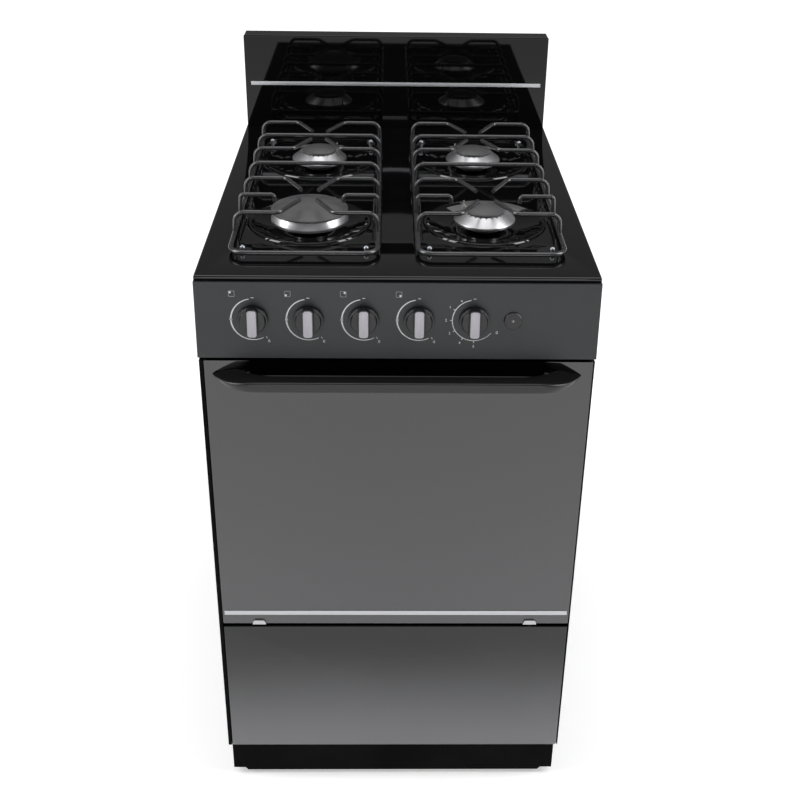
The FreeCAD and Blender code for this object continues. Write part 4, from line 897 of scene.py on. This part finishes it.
def gas_dial(index):
    """Dial of a gas knob: a dash at off, a blob at full, a flame at low, and its burner's place."""
    column, row = ((-1, 1), (-1, -1), (1, 1), (1, -1))[index]
    return [dial_arc(arc_start, gas_arc_end, 0.6 * MM, 2.0 * MM),
            stroke([(-1.8 * MM, dial_radius + 1.5 * MM), (1.8 * MM, dial_radius + 1.5 * MM)], 0.8 * MM),
            dot(*clock(90, dial_radius), 1.7 * MM),
            tick(214, dial_radius + 0.4 * MM, dial_radius + 3.4 * MM, 0.6 * MM),
            flame(*clock(213, dial_radius + 7.9 * MM), 2.0 * MM),
            dot(-icon_left + column * icon_half * 0.5, icon_up + row * icon_half * 0.5, 1.4 * MM)]


def burner_square():
    """Outline of the cooktop beside a gas knob, thin and grey."""
    square = [(-icon_left + a * icon_half, icon_up + b * icon_half)
              for a, b in ((-1, -1), (1, -1), (1, 1), (-1, 1))]
    return stroke(rounded(square, 0.6 * MM, 3, closed=True), 0.45 * MM, closed=True)


def digit(number, x, y):
    """A plain printed number, as a mesh."""
    curve = bpy.data.curves.new("number", "FONT")
    curve.body = str(number)
    curve.size = number_height
    curve.align_x = "CENTER"
    curve.align_y = "CENTER"
    curve.extrude = (ink_high - ink_low) / 2
    holder = bpy.data.objects.new("number", curve)
    bpy.context.scene.collection.objects.link(holder)
    view = bpy.context.evaluated_depsgraph_get()
    mesh = bpy.data.meshes.new_from_object(holder.evaluated_get(view))
    bpy.data.objects.remove(holder)
    mesh.transform(Matrix.Translation((x, y, (ink_high + ink_low) / 2)))
    return mesh


def oven_dial():
    """Dial of the oven knob: a thin arc, outward marks and the numbers 1 to 5, and a low flame."""
    made = [dial_arc(arc_start, oven_arc_end, 0.6 * MM, 1.3 * MM),
            stroke([(-1.8 * MM, dial_radius + 1.5 * MM), (1.8 * MM, dial_radius + 1.5 * MM)], 0.8 * MM),
            flame(*clock(240, dial_radius + 6 * MM), 2.2 * MM),
            dot(*clock(32, dial_radius + 3.4 * MM), 0.8 * MM)]
    for number in range(1, 6):
        turned_left = first_number + number_pitch * (number - 1)
        made.append(tick(turned_left, dial_radius, dial_radius + 3 * MM, 0.9 * MM))
        made.append(digit(number, *clock(turned_left, number_radius)))
    return made


printed, outlined = [], []
for index, place in enumerate(knob_places):
    for mesh in (oven_dial() if place == "oven" else gas_dial(index)):
        mesh.transform(panel_matrix(place))
        printed.append(mesh)
    if place != "oven":
        outlined.append(burner_square())
        outlined[-1].transform(panel_matrix(place))
piece("printed_dials", joined(printed, "dials"), "range_body", white_ink)
piece("printed_burner_squares", joined(outlined, "squares"), "range_body", grey_ink)


def spark_mark():
    """Four-pointed spark printed on the ignition button."""
    path = []
    for k in range(8):
        reach = (2.3 if k % 2 == 0 else 0.7) * MM
        path.append((reach * math.cos(math.pi * k / 4), reach * math.sin(math.pi * k / 4)))
    return stroke(path, 0.45 * MM, closed=True)


button_low, button_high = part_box("ignition_button")
mesh = spark_mark()
matrix = panel_matrix("oven")
matrix.translation.x = (button_low.x + button_high.x) / 2
mesh.transform(matrix @ Matrix.Translation((0, 0, button_face)))
piece("button_spark_mark", mesh, "ignition_button", white_ink)


# ================================================================ screws
def screw_tree():
    """Puts a pan head with a cross recess on every point, turned to face the way the point says."""
    tree, given, result = node_group("screws", {"Head Radius": screw_radius, "Recess Width": recess_width})
    unit = 1.0 * MM
    head = add(tree, "GeometryNodeMeshCone", {"Vertices": 32, "Radius Bottom": given.outputs["Head Radius"],
                                              "Depth": unit})
    shrink = add(tree, "ShaderNodeMath", {0: given.outputs["Head Radius"], 1: 0.82}, operation="MULTIPLY")
    tree.links.new(shrink.outputs[0], head.inputs["Radius Top"])
    long_side = add(tree, "ShaderNodeMath", {0: given.outputs["Head Radius"], 1: 1.1}, operation="MULTIPLY")
    solid = head.outputs["Mesh"]
    for turn in (0.0, math.pi / 2):
        size = add(tree, "ShaderNodeCombineXYZ", {"X": long_side.outputs[0],
                                                  "Y": given.outputs["Recess Width"], "Z": unit})
        bar = add(tree, "GeometryNodeMeshCube", {"Size": size.outputs["Vector"]})
        placed = add(tree, "GeometryNodeTransform", {"Geometry": bar.outputs["Mesh"],
                                                     "Translation": (0, 0, unit * 0.95),
                                                     "Rotation": (0, 0, turn)})
        carve = add(tree, "GeometryNodeMeshBoolean", operation="DIFFERENCE")
        tree.links.new(solid, carve.inputs["Mesh 1"])
        tree.links.new(placed.outputs["Geometry"], carve.inputs["Mesh 2"])
        solid = carve.outputs["Mesh"]
    facing = add(tree, "GeometryNodeInputNamedAttribute", {"Name": "facing"}, data_type="FLOAT_VECTOR")
    height = add(tree, "GeometryNodeInputNamedAttribute", {"Name": "height"}, data_type="FLOAT")
    stretch = add(tree, "ShaderNodeCombineXYZ", {"X": 1.0, "Y": 1.0})
    tree.links.new(height.outputs["Attribute"], stretch.inputs["Z"])
    turned = add(tree, "FunctionNodeAlignRotationToVector", {"Vector": facing.outputs["Attribute"]},
                 axis="Z")
    spread = add(tree, "GeometryNodeInstanceOnPoints", {"Points": given.outputs["Geometry"],
                                                        "Rotation": turned.outputs["Rotation"],
                                                        "Scale": stretch.outputs["Vector"]})
    tree.links.new(solid, spread.inputs["Instance"])
    real = add(tree, "GeometryNodeRealizeInstances", {"Geometry": spread.outputs["Instances"]})
    painted = add(tree, "GeometryNodeSetMaterial", {"Geometry": real.outputs["Geometry"],
                                                    "Material": given.outputs["Material"]})
    tree.links.new(painted.outputs["Geometry"], result.inputs["Geometry"])
    return tree


def screw_places():
    """Foot of each screw and the way it faces, read from the CAD screws' loose parts."""
    bm = bmesh.new()
    bm.from_mesh(frame["nodes"]["body_screws"].data)
    bmesh.ops.remove_doubles(bm, verts=bm.verts, dist=1e-6)
    seen, places = set(), []
    for vert in bm.verts:
        if vert in seen:
            continue
        island, waiting = [], [vert]
        seen.add(vert)
        while waiting:
            here = waiting.pop()
            island.append(here.co.copy())
            for edge in here.link_edges:
                other = edge.other_vert(here)
                if other not in seen:
                    seen.add(other)
                    waiting.append(other)
        low = Vector([min(p[i] for p in island) for i in range(3)])
        high = Vector([max(p[i] for p in island) for i in range(3)])
        middle = (low + high) / 2
        if high.x - low.x < high.y - low.y:
            side = 1 if middle.x > 0 else -1
            foot = Vector((low.x if side > 0 else high.x, middle.y, middle.z))
            places.append((foot, Vector((side, 0, 0)), side_screw_height))
        else:
            places.append((Vector((middle.x, low.y, middle.z)), Vector((0, 1, 0)), rear_screw_height))
    bm.free()
    return places


def screws():
    places = screw_places()
    points = bpy.data.meshes.new("screw_points")
    points.from_pydata([foot for foot, out, height in places], [], [])
    # Each attribute is filled before the next is added, which would move it in memory.
    facing = points.attributes.new("facing", "FLOAT_VECTOR", "POINT")
    for index, (foot, out, height) in enumerate(places):
        facing.data[index].vector = out
    tall = points.attributes.new("height", "FLOAT", "POINT")
    for index, (foot, out, height) in enumerate(places):
        tall.data[index].value = height / MM
    values = {"Head Radius": screw_radius, "Recess Width": recess_width, "Material": zinc_steel}
    return grown(screw_tree(), values, points, "cross_recess_screws")


piece("cross_recess_screws", screws(), "range_body", zinc_steel, ["body_screws"])


# ================================================================ studio
near_floor = 0.6
far_floor = 3.0
near_floor_lift = 0.42
ceiling_light = 0.14
# Heights of the backdrop's top and of the full ceiling, as the sine of the angle over the horizon.
backdrop_top = 0.02
ceiling_start = 0.14


def seen_directly(tree):
    """One where a ray comes straight from the camera or by way of metal, gloss or glass."""
    path = add(tree, "ShaderNodeLightPath")
    direct = add(tree, "ShaderNodeMath", {0: path.outputs["Is Camera Ray"],
                                          1: path.outputs["Is Glossy Ray"]}, operation="MAXIMUM")
    return add(tree, "ShaderNodeMath", {0: direct.outputs[0], 1: path.outputs["Is Transmission Ray"]},
               operation="MAXIMUM").outputs[0]


def floor():
    """Pale sweep under the range that keeps its shadow and turns white away from it."""
    material, tree, shader = surface("studio_floor", {"Base Color": linear("#E6E6E6"), "Roughness": 0.9,
                                                      "Specular IOR Level": 0.1})
    place = add(tree, "ShaderNodeTexCoord").outputs["Object"]
    away = add(tree, "ShaderNodeVectorMath", {0: place}, operation="LENGTH")
    lift = add(tree, "ShaderNodeMapRange", {"Value": away.outputs["Value"], "From Min": near_floor,
                                            "From Max": far_floor, "To Min": near_floor_lift,
                                            "To Max": 1.0})
    shown = add(tree, "ShaderNodeMath", {0: seen_directly(tree), 1: lift.outputs["Result"]},
                operation="MULTIPLY")
    shader.inputs["Emission Color"].default_value = (1, 1, 1, 1)
    tree.links.new(shown.outputs[0], shader.inputs["Emission Strength"])
    size = 30.0
    mesh = bpy.data.meshes.new("studio_floor")
    corners = [(-size, -size, 0), (size, -size, 0), (size, size, 0), (-size, size, 0)]
    mesh.from_pydata(corners, [], [(0, 1, 2, 3)])
    mesh.materials.append(material)
    ground = bpy.data.objects.new("studio_floor", mesh)
    bpy.context.scene.collection.objects.link(ground)


def world():
    """White backdrop round the horizon under a dim ceiling; the camera finds it white all the way up."""
    made = bpy.data.worlds.new("studio")
    made.use_nodes = True
    tree = made.node_tree
    tree.nodes.clear()
    path = add(tree, "ShaderNodeLightPath")
    place = add(tree, "ShaderNodeTexCoord").outputs["Generated"]
    height = add(tree, "ShaderNodeSeparateXYZ", {"Vector": place})
    ceiling = add(tree, "ShaderNodeValToRGB", {"Fac": height.outputs["Z"]})
    ceiling.color_ramp.elements[0].position = backdrop_top
    ceiling.color_ramp.elements[0].color = (1, 1, 1, 1)
    ceiling.color_ramp.elements[1].position = ceiling_start
    ceiling.color_ramp.elements[1].color = (ceiling_light, ceiling_light, ceiling_light, 1)
    white = add(tree, "ShaderNodeMath", {0: path.outputs["Is Camera Ray"],
                                         1: path.outputs["Is Transmission Ray"]}, operation="MAXIMUM")
    colour = add(tree, "ShaderNodeMix", {"Factor": white.outputs[0]}, data_type="RGBA")
    tree.links.new(ceiling.outputs["Color"], colour.inputs[6])
    colour.inputs[7].default_value = (1, 1, 1, 1)
    background = add(tree, "ShaderNodeBackground", {"Color": colour.outputs[2], "Strength": 1.0})
    add(tree, "ShaderNodeOutputWorld", {"Surface": background.outputs[0]})
    bpy.context.scene.world = made


def softbox(name, place, target, size, watts):
    lamp = bpy.data.lights.new(name, "AREA")
    lamp.shape = "RECTANGLE"
    lamp.size, lamp.size_y = size
    lamp.energy = watts
    lit = bpy.data.objects.new(name, lamp)
    lit.location = place
    lit.rotation_euler = (Vector(target) - Vector(place)).to_track_quat("-Z", "Y").to_euler()
    bpy.context.scene.collection.objects.link(lit)


def camera():
    """At the photograph's viewpoint, with the picture shifted down as the photograph is framed."""
    picture = 800
    focal_pixels = 1169.8
    centre_x, centre_y = 408.0, 340.0
    pitch = 0.47908
    yaw = -0.02161
    roll = -0.01519
    lens = bpy.data.cameras.new("camera")
    lens.sensor_width = 36.0
    lens.lens = focal_pixels / picture * lens.sensor_width
    lens.shift_x = (picture / 2 - centre_x) / picture
    lens.shift_y = (centre_y - picture / 2) / picture
    view = bpy.data.objects.new("camera", lens)
    turn = Matrix.Rotation(yaw, 3, "Z")
    forward = turn @ Vector((0, math.cos(pitch), -math.sin(pitch)))
    down = turn @ Vector((0, -math.sin(pitch), -math.cos(pitch)))
    right = turn @ Vector((1, 0, 0))
    level = math.cos(roll) * right + math.sin(roll) * down
    upright = math.sin(roll) * right - math.cos(roll) * down
    view.matrix_world = Matrix((level, upright, -forward)).transposed().to_4x4()
    view.location = Vector((-15.34 * MM, front_y - 1320.48 * MM, top_z + 598.33 * MM))
    bpy.context.scene.collection.objects.link(view)
    bpy.context.scene.camera = view


floor()
world()
burner_height = Vector((0, 0, 0.86))
softbox("left_softbox", (-2.0, -0.5, 2.0), burner_height, (0.9, 2.2), 48)
softbox("right_softbox", (2.0, -0.5, 2.0), burner_height, (0.9, 2.2), 48)
softbox("top_softbox", (0, 0.3, 3.0), burner_height, (1.8, 3.0), 30)
softbox("low_front_softbox", (0, -3.2, 0.95), (0, 0, 0.55), (2.2, 0.8), 12)
camera()
bpy.context.scene.view_settings.view_transform = "Standard"
